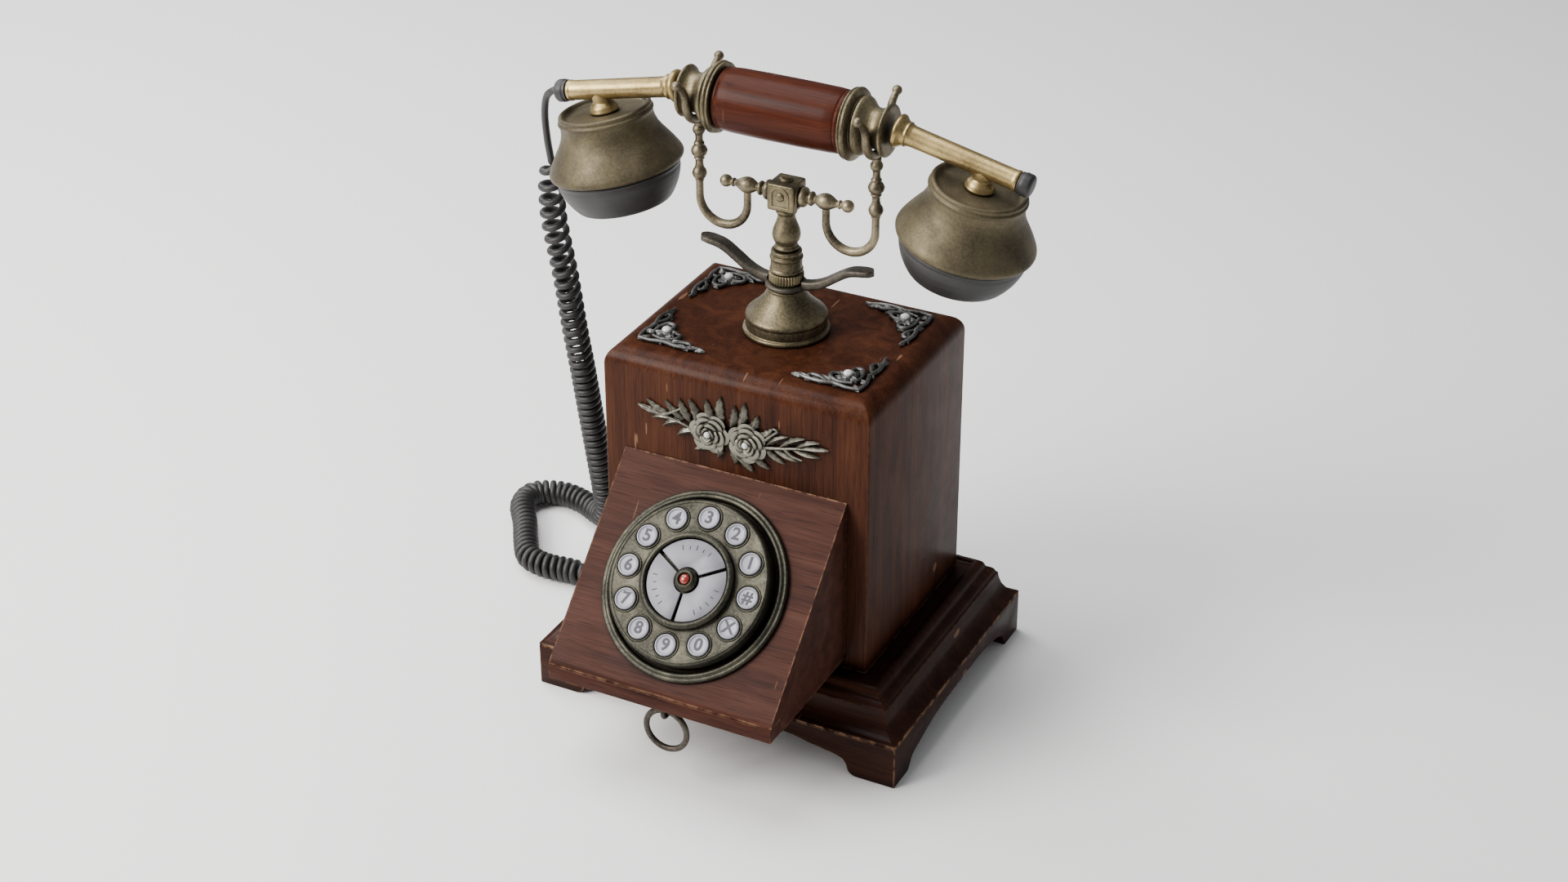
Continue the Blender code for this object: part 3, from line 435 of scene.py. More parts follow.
class Builder:
    """Collects closed shapes, in millimetres about the column, into one piece."""

    def __init__(self):
        self.shape = bmesh.new()

    def skin(self, rings, cap=True, loop=False):
        """Join equal rings of points with quads, and cap the first and last."""
        made = [[self.shape.verts.new(point) for point in ring] for ring in rings]
        pairs = list(zip(made, made[1:]))
        if loop:
            pairs.append((made[-1], made[0]))
        for one, two in pairs:
            count = len(one)
            for i in range(count):
                j = (i + 1) % count
                self.shape.faces.new((one[i], one[j], two[j], two[i]))
        if cap and not loop:
            self.shape.faces.new(list(reversed(made[0])))
            self.shape.faces.new(made[-1])
        return self

    def lathe(self, profile, matrix=None, steps=72, soften=0.5, closed=False, ridges=None):
        """A turned shape from (radius, height) points; ridges are (count, depth, low, high)."""
        matrix = matrix or Matrix.Identity(4)
        if closed:
            profile = list(profile) + [profile[0], profile[1]]
        points = fillet(profile, soften)
        if closed:
            points = points[1:-1]
        rings = []
        for radius, height in points:
            ring = []
            for i in range(steps):
                angle = 2 * math.pi * i / steps
                reach = max(radius, 0.0005)
                if ridges and ridges[2] <= height <= ridges[3] and radius > 1:
                    reach -= ridges[1] * (0.5 + 0.5 * math.cos(ridges[0] * angle))
                ring.append(matrix @ Vector((reach * math.cos(angle), reach * math.sin(angle), height)))
            rings.append(ring)
        if closed:
            self.skin(rings, loop=(Vector(points[0]) - Vector(points[-1])).length > 0.001, cap=False)
            if (Vector(points[0]) - Vector(points[-1])).length <= 0.001:
                bmesh.ops.remove_doubles(self.shape, verts=self.shape.verts, dist=0.0005)
            return self
        return self.skin(rings)

    def sweep(self, points, section, closed=False):
        """Run a section along points; section(t) gives (side, up) offsets at the share t of the way."""
        points = [Vector(point) for point in points]
        count = len(points)
        rings = []
        last = None
        for i, point in enumerate(points):
            ahead = points[(i + 1) % count] if closed or i + 1 < count else point
            behind = points[i - 1] if closed or i else point
            along = (ahead - behind).normalized()
            if last is None:
                side = along.cross(Vector((0, 0, 1)))
                if side.length < 0.05:
                    side = along.cross(Vector((0, 1, 0)))
            else:
                side = last - along * last.dot(along)
            side.normalize()
            last = side
            over = side.cross(along)
            share = i / (count - 1)
            rings.append([point + side * a + over * b for a, b in section(share)])
        return self.skin(rings, loop=closed)

    def tube(self, points, radius, sides=16, closed=False):
        """A round wire; radius is a number or a function of the share of the way."""
        reach = radius if callable(radius) else (lambda share: radius)

        def section(share):
            r = reach(share)
            return [(r * math.cos(2 * math.pi * k / sides), r * math.sin(2 * math.pi * k / sides))
                    for k in range(sides)]
        return self.sweep(points, section, closed=closed)

    def ball(self, radius, at, flat=(1, 1, 1), rings=16):
        made = bmesh.ops.create_uvsphere(self.shape, u_segments=2 * rings, v_segments=rings, radius=radius)
        bmesh.ops.scale(self.shape, vec=flat, verts=made["verts"])
        bmesh.ops.translate(self.shape, vec=Vector(at), verts=made["verts"])
        return self

    def box(self, low, high, edge=0.0, matrix=None):
        """A box, with its edges rounded where edge isn't 0."""
        low = Vector(low)
        high = Vector(high)
        made = bmesh.ops.create_cube(self.shape, size=1.0)["verts"]
        bmesh.ops.scale(self.shape, vec=high - low, verts=made)
        bmesh.ops.translate(self.shape, vec=(low + high) / 2, verts=made)
        if matrix:
            bmesh.ops.transform(self.shape, matrix=matrix, verts=made)
        if edge:
            lines = list({line for vert in made for line in vert.link_edges})
            bmesh.ops.bevel(self.shape, geom=lines, offset=edge, offset_type="OFFSET", segments=3,
                            profile=0.5, affect="EDGES")
        return self

    def prism(self, outline, low, high, across):
        """An outline run along an axis: across(u, v, w) turns its two coordinates and the run to X, Y, Z."""
        return self.skin([[Vector(across(u, v, w)) for u, v in outline] for w in (low, high)])

    def mesh(self, name):
        """The shapes as mesh data in the row frame."""
        bmesh.ops.transform(self.shape, matrix=Matrix.Translation((0, COLUMN_Y, 0)) @ Matrix.Scale(MM, 4),
                            verts=self.shape.verts)
        bmesh.ops.recalc_face_normals(self.shape, faces=self.shape.faces)
        data = bpy.data.meshes.new(name)
        self.shape.to_mesh(data)
        self.shape.free()
        return data

    def done(self, name, finish, body, slot, *nodes, sharp=38):
        """Turn the shapes into a piece that rides on a body and stands for the named CAD nodes."""
        return show(name, self.mesh(name), finish, body, slot, nodes, sharp)


def show(name, data, finish, body, slot, nodes, sharp=38):
    """Make a piece of finished mesh data."""
    data.polygons.foreach_set("use_smooth", [True] * len(data.polygons))
    data.set_sharp_from_angle(angle=math.radians(sharp))
    data.materials.clear()
    data.materials.append(FINISHES[finish])
    piece = bpy.data.objects.new(name, data)
    bpy.context.scene.collection.objects.link(piece)
    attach(piece, body)
    if nodes:
        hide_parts(*nodes)
    return piece


def carve(name, solid, tools, edge=0.0):
    """Mesh data of one builder's shape less each tool's, with the edges left rounded."""
    thing = bpy.data.objects.new(name, solid.mesh(name))
    bpy.context.scene.collection.objects.link(thing)
    helpers = []
    for index, tool in enumerate(tools):
        helper = bpy.data.objects.new(f"{name}_tool_{index}", tool.mesh(f"{name}_tool_{index}"))
        bpy.context.scene.collection.objects.link(helper)
        step = thing.modifiers.new("cut", "BOOLEAN")
        step.operation = "DIFFERENCE"
        step.solver = "EXACT"
        step.object = helper
        helpers.append(helper)
    if edge:
        rounded = thing.modifiers.new("edges", "BEVEL")
        rounded.width = edge * MM
        rounded.segments = 2
        rounded.limit_method = "ANGLE"
        rounded.angle_limit = math.radians(28)
    graph = bpy.context.evaluated_depsgraph_get()
    data = bpy.data.meshes.new_from_object(thing.evaluated_get(graph))
    for helper in helpers + [thing]:
        bpy.data.objects.remove(helper, do_unlink=True)
    return data


def turned(name, profile, matrix, steps, soften, finish, body, slot, node, sharp=50, **how):
    """A turned piece that stands for one CAD node."""
    Builder().lathe(profile, matrix, steps, soften, **how).done(name, finish, body, slot, node, sharp=sharp)


def along_x(u, v, w):
    """An outline read as (y, z) and run along X."""
    return (w, u, v)


def along_y(u, v, w):
    """An outline read as (x, z) and run along Y."""
    return (u, w, v)


# ---------------------------------------------------------------- the handset's cord

def cord():
    """One wire from the left cup's tube cap: a short lead, the curls to the table, a tail to its gland."""
    lead = [(-118.7, 0, 275.8), (-121.6, 0.3, 274.9), (-126.2, 2.6, 270.0), (-129.2, 5.4, 260.0),
            (-130.2, 8, 247), (-129.8, 10, 234.4)]
    curl = [(-129.8, 10, 234.0), (-131.5, 12, 218.8), (-133.4, 16, 199.5), (-132.2, 22, 168.3),
            (-132.0, 28, 136.7), (-131.4, 33, 111.1), (-131.0, 38, 84.2), (-130.0, 43, 53.5),
            (-129.6, 47, 31.0), (-132.5, 52, 14.0), (-142, 60.5, 7.6), (-155, 67.0, 7.0),
            (-170, 69.5, 7.0), (-183, 63.0, 7.0), (-183, 50.0, 7.0), (-172, 34.5, 7.0), (-162, 19.0, 7.0),
            (-153, 7.6, 7.0), (-141, 4.2, 7.0), (-128, 5.3, 7.0), (-115.5, GLAND_Y, 7.0)]
    tail = [(-115.2, GLAND_Y, 7.0), (-111.5, GLAND_Y, 7.8), (-108.0, GLAND_Y, 11.0),
            (-105.2, GLAND_Y, 15.0), (-102.6, GLAND_Y, 17.2), (-99.9, GLAND_Y, GLAND_Z)]
    line = smooth_line(curl, 40)
    coil_radius = CURL_RADIUS - CORD_RADIUS
    total = sum((b - a).length for a, b in zip(line, line[1:]))
    path = smooth_line(lead, 8)[:-2]
    walked = 0.0
    turned = 0.0
    side = Vector((0, 1, 0))
    step_angle = 2 * math.pi / CURL_SIDES
    next_angle = 0.0
    for a, b in zip(line, line[1:]):
        along = (b - a).normalized()
        side = (side - along * side.dot(along)).normalized()
        over = along.cross(side)
        length = (b - a).length
        share = walked / total
        pitch = CLOSE_PITCH + 3.6 * max(0.0, 1 - share / 0.34) + 1.2 * max(0.0, 1 - share / 0.5)
        turns = 2 * math.pi * length / pitch
        while next_angle <= turned + turns:
            t = (next_angle - turned) / turns
            # The curls shrink to a straight wire at both ends
            fade = min(1.0, next_angle / 5.0, (total - walked - t * length) / 6.0)
            reach = coil_radius * max(0.02, fade)
            around = side * math.cos(next_angle) + over * math.sin(next_angle)
            path.append(a.lerp(b, t) + around * reach)
            next_angle += step_angle
        turned += turns
        walked += length
    path += smooth_line(tail, 6)[1:]
    made = Builder().tube(path, CORD_RADIUS, sides=10)
    data = made.mesh("handset_cord")
    route = [place(*point) for point in path]
    length = sum((b - a).length for a, b in zip(route, route[1:]))
    data.polygons.foreach_set("use_smooth", [True] * len(data.polygons))
    data.materials.append(FINISHES["cord"])
    piece = bpy.data.objects.new("handset_cord", data)
    bpy.context.scene.collection.objects.link(piece)
    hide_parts("cord_lead", "cord_coiled", "cord_tail")
    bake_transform(piece)
    tuple(route[0])
    [tuple(point) for point in route]


# ---------------------------------------------------------------- wooden case

def rectangle(half, near, far, height, corner=0.8):
    """A level rectangle with small round corners, as points in turn."""
    points = []
    for x, y, start in ((half - corner, far - corner, 0), (corner - half, far - corner, 90),
                        (corner - half, near + corner, 180), (half - corner, near + corner, 270)):
        points += [(*point, height) for point in arc((x, y), corner, start, start + 90, 3)]
    return points


def cabinet():
    """The hollow cabinet with its rounded top edges, and the board that closes its back."""
    floor = BASE_TOP + GAP
    rings = [rectangle(CABINET_HALF_WIDTH, -CABINET_HALF_DEPTH, CABINET_HALF_DEPTH, floor)]
    for step in range(10):
        angle = math.pi / 2 * step / 9
        inset = CABINET_EDGE * (1 - math.cos(angle))
        height = CABINET_TOP - CABINET_EDGE * (1 - math.sin(angle))
        rings.append(rectangle(CABINET_HALF_WIDTH - inset, inset - CABINET_HALF_DEPTH,
                               CABINET_HALF_DEPTH - inset, height))
    inner = CABINET_HALF_WIDTH - CABINET_WALL
    ceiling = CABINET_TOP - CABINET_WALL
    inside = Builder().box((-inner, CABINET_WALL - CABINET_HALF_DEPTH, floor + CABINET_WALL),
                           (inner, CABINET_HALF_DEPTH + PAST, ceiling))
    top, bottom = CABINET_TOP + PAST, ceiling - PAST
    hole = Builder().lathe([(0, top), (2.7, top), (2.7, bottom), (0, bottom)], steps=32, soften=0)
    window = Builder().box((-30, -CABINET_HALF_DEPTH - PAST, 70), (30, 0, 100))
    show("cabinet_case", carve("cabinet_case", Builder().skin(rings), [inside, hole, window]), "cabinet",
         "cabinet", "cabinet_wood", ["cabinet_shell"])

    low = (GAP - inner, CABINET_HALF_DEPTH - 6.5, floor + CABINET_WALL + GAP)
    high = (inner - GAP, CABINET_HALF_DEPTH - 0.5, ceiling - GAP)
    vents = Builder()
    for row in range(6):
        height = 128 + 6 * row
        vents.box((-22, CABINET_HALF_DEPTH - 9, height), (22, CABINET_HALF_DEPTH + 2, height + 2.2))
    show("back_board", carve("back_board", Builder().box(low, high), [vents], 0.5), "board", "cabinet",
         "inner_wood", ["rear_cover"])
    screws = Builder()
    for x in (-53, 53):
        for z in (56, 164):
            at = seat((x, CABINET_HALF_DEPTH - 0.5, z), (-math.pi / 2, 0, 0))
            screws.lathe([(0, 0.4), (0.8, 0.9), (2.4, 0.8), (3.2, 0.3), (3.2, -0.4), (0, -0.4)], at, 24, 0.2)
            slot_at = seat((x, CABINET_HALF_DEPTH + 0.3, z), (0, math.radians(31 * (x + z)), 0))
            screws.box((-2.2, -0.1, -0.28), (2.2, 0.14, 0.28), matrix=slot_at)
    screws.done("back_screws", "steel", "cabinet", "steel")

    socket = Builder().box((-5, CABINET_HALF_DEPTH + 1, 66), (5, CABINET_HALF_DEPTH + 10, 73))
    key_way = Builder().box((-2.2, CABINET_HALF_DEPTH + 1, 64.2), (2.2, CABINET_HALF_DEPTH + 10, 67))
    body = Builder().box((-8, CABINET_HALF_DEPTH - 0.2, 62), (8, CABINET_HALF_DEPTH + 7, 78))
    show("line_socket", carve("line_socket", body, [socket, key_way], 0.7), "black", "cabinet",
         "black_plastic", ["line_jack"])
    contacts = Builder()
    for x in (-2.4, -0.8, 0.8, 2.4):
        contacts.tube([(x, CABINET_HALF_DEPTH + 1.2, 72.6), (x, CABINET_HALF_DEPTH + 3, 71.2),
                       (x, CABINET_HALF_DEPTH + 5.6, 69.6)], 0.22, 8)
    contacts.done("line_contacts", "brass", "cabinet", "aged_brass")


def base():
    """The moulded plinth and the skirt with its bracket feet."""
    steps = [(27.1, SKIRT_TOP + 0.3), (27.1, 22.9), (26.0, 23.3), (24.6, 23.5), (21.8, 25.2), (19.6, 28.2),
             (18.3, 32.0), (17.9, 34.8), (17.0, 35.2), (16.4, 36.6), (15.0, 37.6), (13.2, 38.0),
             (12.6, 38.6), (11.8, 40.6), (10.4, 41.7), (8.8, 41.9), (7.4, 41.2), (6.4, BASE_TOP),
             (0, BASE_TOP)]
    front_share = (-CABINET_HALF_DEPTH - BASE_FRONT) / steps[0][0]
    rear_share = (BASE_REAR - CABINET_HALF_DEPTH) / steps[0][0]
    rings = []
    for out, height in fillet(steps, 0.9):
        rings.append(rectangle(CABINET_HALF_WIDTH + out, -CABINET_HALF_DEPTH - out * front_share,
                               CABINET_HALF_DEPTH + out * rear_share, height))
    Builder().skin(rings).done("plinth", "base", "cabinet", "base_wood", "base_moulding", sharp=30)

    board = Builder().box((-BASE_HALF_WIDTH, BASE_FRONT, 0), (BASE_HALF_WIDTH, BASE_REAR, SKIRT_TOP))
    inside = Builder().box((SKIRT_WALL - BASE_HALF_WIDTH, BASE_FRONT + SKIRT_WALL, -5),
                           (BASE_HALF_WIDTH - SKIRT_WALL, BASE_REAR - SKIRT_WALL, SKIRT_TOP + PAST))
    front = smooth_line([(74, 0), (71, 2), (69.5, 6), (66, 9), (52, 11.5), (38, 14), (18, 15.4), (0, 15.6)],
                        4)
    front = [(74, -5), *[tuple(point) for point in front]]
    arch = front + [(-x, z) for x, z in reversed(front[:-1])]
    side = smooth_line([(-62, 0), (-59.5, 3), (-57, 6), (-50, 8), (-38, 11), (-26, 12.7), (-2, 13.5),
                        (21, 13.5), (35, 12), (44.5, 10), (50, 7), (52, 3), (53.4, 0)], 4)
    side = [(-62, -5), *[tuple(point) for point in side], (53.4, -5)]
    tools = [inside, Builder().prism(arch, BASE_FRONT - PAST, BASE_REAR + PAST, along_y),
             Builder().prism(side, -BASE_HALF_WIDTH - PAST, BASE_HALF_WIDTH + PAST, along_x)]
    show("skirt", carve("skirt", board, tools, 0.7), "base", "cabinet", "base_wood", ["base_skirt"])


def nose(low, high):
    """Points of the housing's rounded front edge between two heights, from low to high."""
    centre = (HOUSING_FRONT + NOSE_RADIUS,
              HOUSING_TOP + HOUSING_FRONT - HOUSING_BACK - NOSE_RADIUS * math.tan(SLOPE / 2))
    arc_top = centre[1] + NOSE_RADIUS * math.sin(math.pi - SLOPE)
    first = math.asin((max(low, centre[1]) - centre[1]) / NOSE_RADIUS)
    last = math.asin((min(high, arc_top) - centre[1]) / NOSE_RADIUS)
    return arc(centre, NOSE_RADIUS, 180 - math.degrees(first), 180 - math.degrees(last), 8)


def housing():
    """The sloped housing, the drawer whose front is its lip, and the ring that pulls the drawer."""
    outline = [(HOUSING_BACK, HOUSING_BOTTOM), (HOUSING_FRONT, HOUSING_BOTTOM),
               *nose(HOUSING_BOTTOM, HOUSING_TOP), (HOUSING_BACK, HOUSING_TOP)]
    tray_front = DRAWER_BLOCK_BACK + GAP
    slot_top = DRAWER_BLOCK_TOP + GAP
    ceiling = HOUSING_TOP - 8.0 / math.cos(SLOPE)
    hollow = [(HOUSING_BACK + 5, FLOOR_TOP), (tray_front, FLOOR_TOP), (tray_front, slot_top),
              (HOUSING_BACK, ceiling), (HOUSING_BACK + 5, ceiling)]
    wide = HOUSING_HALF_WIDTH
    slot = TRAY_HALF_WIDTH + 0.4
    tools = [Builder().prism(hollow, -slot, slot, along_x),
             Builder().box((-wide - PAST, HOUSING_FRONT - PAST, HOUSING_BOTTOM - PAST),
                           (wide + PAST, tray_front, slot_top))]
    body = Builder().prism(outline, -wide, wide, along_x)
    show("dial_case", carve("dial_case", body, tools, 0.55), "housing", "cabinet", "housing_wood",
         ["dial_housing"], 30)

    lip = [(DRAWER_BLOCK_BACK, HOUSING_BOTTOM + GAP), (HOUSING_FRONT, HOUSING_BOTTOM + GAP),
           *nose(HOUSING_BOTTOM, DRAWER_BLOCK_TOP), (DRAWER_BLOCK_BACK, DRAWER_BLOCK_TOP)]
    front = carve("drawer_front", Builder().prism(lip, -wide, wide, along_x), [], 0.5)
    show("drawer_front", front, "housing", "drawer", "housing_wood", ["drawer"], 30)
    tray = Builder().box((-TRAY_HALF_WIDTH, DRAWER_BLOCK_BACK - 0.1, FLOOR_TOP + GAP),
                         (TRAY_HALF_WIDTH, TRAY_BACK, TRAY_TOP))
    room = Builder().box((2 - TRAY_HALF_WIDTH, DRAWER_BLOCK_BACK + 2, FLOOR_TOP + 1.3),
                         (TRAY_HALF_WIDTH - 2, TRAY_BACK - 2, TRAY_TOP + PAST))
    show("drawer_tray", carve("drawer_tray", tray, [room], 0.3), "board", "drawer", "inner_wood", [])

    eye = Builder().tube([(0, EYE_Y + y, EYE_Z + z) for y, z in arc((0, 0), 3.1, 0, 350, 35)], 1.1, 14, True)
    eye.lathe([(0, 46.1), (3.4, 46.1), (3.5, 45.6), (2.2, 45.1), (1.5, 44.6), (1.3, 44.2), (0, 44.2)],
              seat((0, EYE_Y, 0)), 28, 0.2)
    eye.done("screw_eye", "horn", "drawer", "dark_bronze", "drawer_eye")
    ring = [(x, EYE_Y, RING_PIVOT_Z + z) for x, z in arc((0, -10.4), 10.4, 90, 444, 59)]
    Builder().tube(ring, lambda t: 1.45 + 0.05 * math.sin(14 * t), 16, True).done(
        "pull_ring_wire", "horn", "pull_ring", "dark_bronze", "drawer_ring")


# ---------------------------------------------------------------- dial

DIAL_MIDDLE = Vector((0, HOUSING_BACK - DIAL_DOWN_SLOPE * math.cos(SLOPE),
                      HOUSING_TOP - DIAL_DOWN_SLOPE * math.sin(SLOPE)))
DIAL_FRAME = seat(DIAL_MIDDLE, (SLOPE, 0, 0))


def on_dial(right, up, height=0.0):
    """A matrix for a shape on the dial's face: along X, up the slope and above the panel."""
    return DIAL_FRAME @ Matrix.Translation((right, up, height))


def numeral(text, name, right, up, body):
    """A raised figure on a key, in the built-in typeface."""
    data = bpy.data.curves.new(name, "FONT")
    data.body = text
    data.size = 8.0
    data.extrude = 0.09
    data.offset = 0.2
    data.align_x = "CENTER"
    data.align_y = "CENTER"
    data.resolution_u = 4
    thing = bpy.data.objects.new(name, data)
    bpy.context.scene.collection.objects.link(thing)
    graph = bpy.context.evaluated_depsgraph_get()
    shape = bpy.data.meshes.new_from_object(thing.evaluated_get(graph))
    bpy.data.objects.remove(thing, do_unlink=True)
    shape.transform(Matrix.Translation((0, COLUMN_Y, 0)) @ Matrix.Scale(MM, 4) @ on_dial(right, up, 10.2))
    show(name, shape, "ink", body, "silver_key", [])


def dial():
    """The ring, the drum with its twelve keys, the three function keys, the hub and the lamp lens."""
    rim = [(40.7, 2.9), (41.5, 3.5), (42.5, 3.45), (43.0, 2.8), (43.6, 2.6), (44.2, 2.75), (44.8, 2.3),
           (45.1, 1.3), (44.9, 0.3), (39.4, 0.3), (39.4, 1.4), (40.2, 1.6)]
    turned("dial_rim", rim, DIAL_FRAME, 144, 0.35, "dial", "cabinet", "dial_brass", "dial_bezel",
           closed=True)

    drum = [(0, 8.9), (19.7, 8.9), (19.7, 12.3), (20.3, 13.0), (21.2, 13.05), (21.9, 12.6), (22.6, 12.2),
            (22.75, 11.4), (22.75, 9.6), (23.2, 9.4), (36.6, 9.4), (37.2, 9.7), (38.0, 9.5), (38.7, 8.6),
            (38.7, 0.3), (37.2, 0.3), (37.2, 7.4), (0, 7.4)]
    holes = Builder()
    for index in range(12):
        angle = math.radians(30 * index)
        at = on_dial(KEY_PITCH_RADIUS * math.sin(angle), KEY_PITCH_RADIUS * math.cos(angle))
        holes.lathe([(0, 12), (5.5, 12), (5.5, 5), (0, 5)], at, 40, 0)
    for middle in (90, 210, 330):
        at = on_dial(13 * math.cos(math.radians(middle)), 13 * math.sin(math.radians(middle)))
        holes.lathe([(0, 12), (2, 12), (2, 5), (0, 5)], at, 24, 0)
    show("dial_drum", carve("dial_drum", Builder().lathe(drum, DIAL_FRAME, 144, 0.4), [holes]), "dial",
         "cabinet", "dial_brass", ["dial_plate"], 35)

    collars = Builder()
    names = ("3", "2", "1", "hash", "star", "0", "9", "8", "7", "6", "5", "4")
    figures = ("3", "2", "1", "#", "X", "0", "9", "8", "7", "6", "5", "4")
    key = [(0, 10.15), (3.9, 10.15), (4.3, 10.5), (4.75, 10.55), (5.1, 10.2), (5.2, 9.7), (5.2, 7.0),
           (6.0, 7.0), (6.0, 5.6), (0, 5.6)]
    for index, (name, figure) in enumerate(zip(names, figures)):
        angle = math.radians(30 * index)
        right = KEY_PITCH_RADIUS * math.sin(angle)
        up = KEY_PITCH_RADIUS * math.cos(angle)
        collars.lathe([(5.55, 9.3), (5.6, 9.8), (6.0, 9.95), (6.4, 9.7), (6.5, 9.3)], on_dial(right, up), 40,
                      0.15, closed=True)
        body = f"key_{name}_cap"
        turned(f"button_{name}", key, on_dial(right, up), 48, 0.25, "key", body, "silver_key",
               f"key_{name}", 38)
        numeral(figure, f"figure_{name}", right, up, body)
    collars.done("key_collars", "dial", "cabinet", "dial_brass")

    for name, middle in (("top", 90), ("left", 210), ("right", 330)):
        inner = arc((0, 0), 6.1, middle - 54, middle + 54, 12)
        outer = arc((0, 0), CARD_RADIUS, middle + 57.5, middle - 57.5, 28)
        sector = Builder().prism(inner + outer, 10.2, 11.6, lambda u, v, w: DIAL_FRAME @ Vector((u, v, w)))
        body = f"function_key_{name}_cap"
        show(f"card_{name}", carve(f"card_{name}", sector, [], 0.3), "card", body, "silver_key",
             [f"function_key_{name}"])
        marks = Builder()
        for step in (-2, -1, 0, 1, 2):
            angle = math.radians(middle + 13 * step)
            long = 1.5 if step % 2 else 2.3
            ends = [DIAL_FRAME @ Vector((reach * math.cos(angle), reach * math.sin(angle), 11.62))
                    for reach in (14.4, 14.4 + long)]
            marks.tube(ends, 0.2, 8)
        marks.done(f"card_marks_{name}", "ink", body, "silver_key")

    hub = [(0, 13.0), (2.8, 13.0), (2.8, 14.0), (3.4, 14.5), (4.2, 14.1), (4.6, 13.2), (5.5, 12.6),
           (5.5, 11.8), (5.0, 11.4), (5.0, 9.2), (0, 9.2)]
    turned("hub", hub, DIAL_FRAME, 96, 0.2, "dial", "cabinet", "dial_brass", "dial_hub", 38,
           ridges=(24, 0.25, 11.7, 12.8))
    lens = [(0, 15.0), (1.0, 14.9), (1.8, 14.5), (2.4, 13.9), (2.55, 13.3), (0, 13.3)]
    turned("lamp_lens", lens, DIAL_FRAME, 40, 0.4, "lens", "cabinet", "lens_plastic", "indicator_lens", 80)


# ---------------------------------------------------------------- cast ornaments

def leaf(made, where, root, tip, width, rise, curl, teeth):
    """A closed leaf or petal on a face: where(a, b, height) turns its plane's coordinates to X, Y, Z."""
    root = Vector(root)
    tip = Vector(tip)
    along = tip - root
    across = Vector((-along.y, along.x)).normalized()
    rows = 12
    columns = 6
    top = []
    bottom = []
    for i in range(rows + 1):
        t = i / rows
        half = width / 2 * math.sin(math.pi * min(1.0, 0.06 + 0.94 * t ** 0.8)) ** 0.75
        if teeth:
            half *= 1 - 0.28 * abs(math.sin(math.pi * teeth * t))
        middle = root + along * t + across * (curl * math.sin(math.pi * t))
        upper = []
        lower = []
        for j in range(columns + 1):
            v = 2 * j / columns - 1
            spot = middle + across * (v * half)
            swell = rise * (0.35 + 0.65 * math.sin(math.pi * (0.15 + 0.7 * t)))
            height = (swell * (1 - 0.75 * v * v) + 0.28 * math.exp(-18 * v * v)
                      - 0.12 * math.exp(-90 * (abs(v) - 0.35) ** 2))
            upper.append(where(spot.x, spot.y, max(height, 0.1)))
            lower.append(where(spot.x, spot.y, max(height - 0.35 - 0.5 * rise * (1 - v * v), 0.05)))
        top.append(upper)
        bottom.append(lower)
    rings = [upper + list(reversed(lower)) for upper, lower in zip(top, bottom)]
    made.skin(rings)


def rose(made, where, centre, radius, spin):
    """A rose seen from above: four rounds of cupped petals on a low dome."""
    rounds = ((3, 0.18, 150, 0.10, 4.6, 0.06), (4, 0.32, 120, 0.15, 4.0, 0.11),
              (5, 0.50, 96, 0.20, 3.1, 0.17), (6, 0.64, 80, 0.24, 2.0, 0.20))
    for index, (count, share, span, lean, rim, bulge) in enumerate(rounds):
        for k in range(count):
            middle = spin + 0.9 * index + 2 * math.pi * k / count
            loops = []
            for i in range(15):
                t = 2 * i / 14 - 1
                angle = middle + math.radians(span) / 2 * t
                rise = math.sqrt(max(0.02, 1 - abs(t) ** 2.6))
                lift = 0.5 + 0.35 * t
                centre_line = []
                for j in range(7):
                    v = j / 6
                    out = radius * (share - 0.05 * t + bulge * (1 - t * t) * v + lean * v ** 1.7 * rise)
                    high = lift + (rim - lift) * rise * math.sin(1.95 * v)
                    centre_line.append((out, high))
                loop = []
                for turn, row in ((1, centre_line), (-1, centre_line[::-1])):
                    for j, (out, high) in enumerate(row):
                        thick = 0.30 if 0 < j < 6 else 0.16
                        reach = out + turn * thick
                        x = centre[0] + reach * math.cos(angle)
                        y = centre[1] + reach * math.sin(angle)
                        loop.append(where(x, y, max(0.1, high)))
                loops.append(loop)
            made.skin(loops)
    dome = [(0, 2.6), (radius * 0.3, 2.4), (radius * 0.62, 1.2), (radius * 0.8, 0.5), (radius * 0.8, 0.1),
            (0, 0.1)]
    made.lathe(dome, where(*centre, None), 40, 0.3)


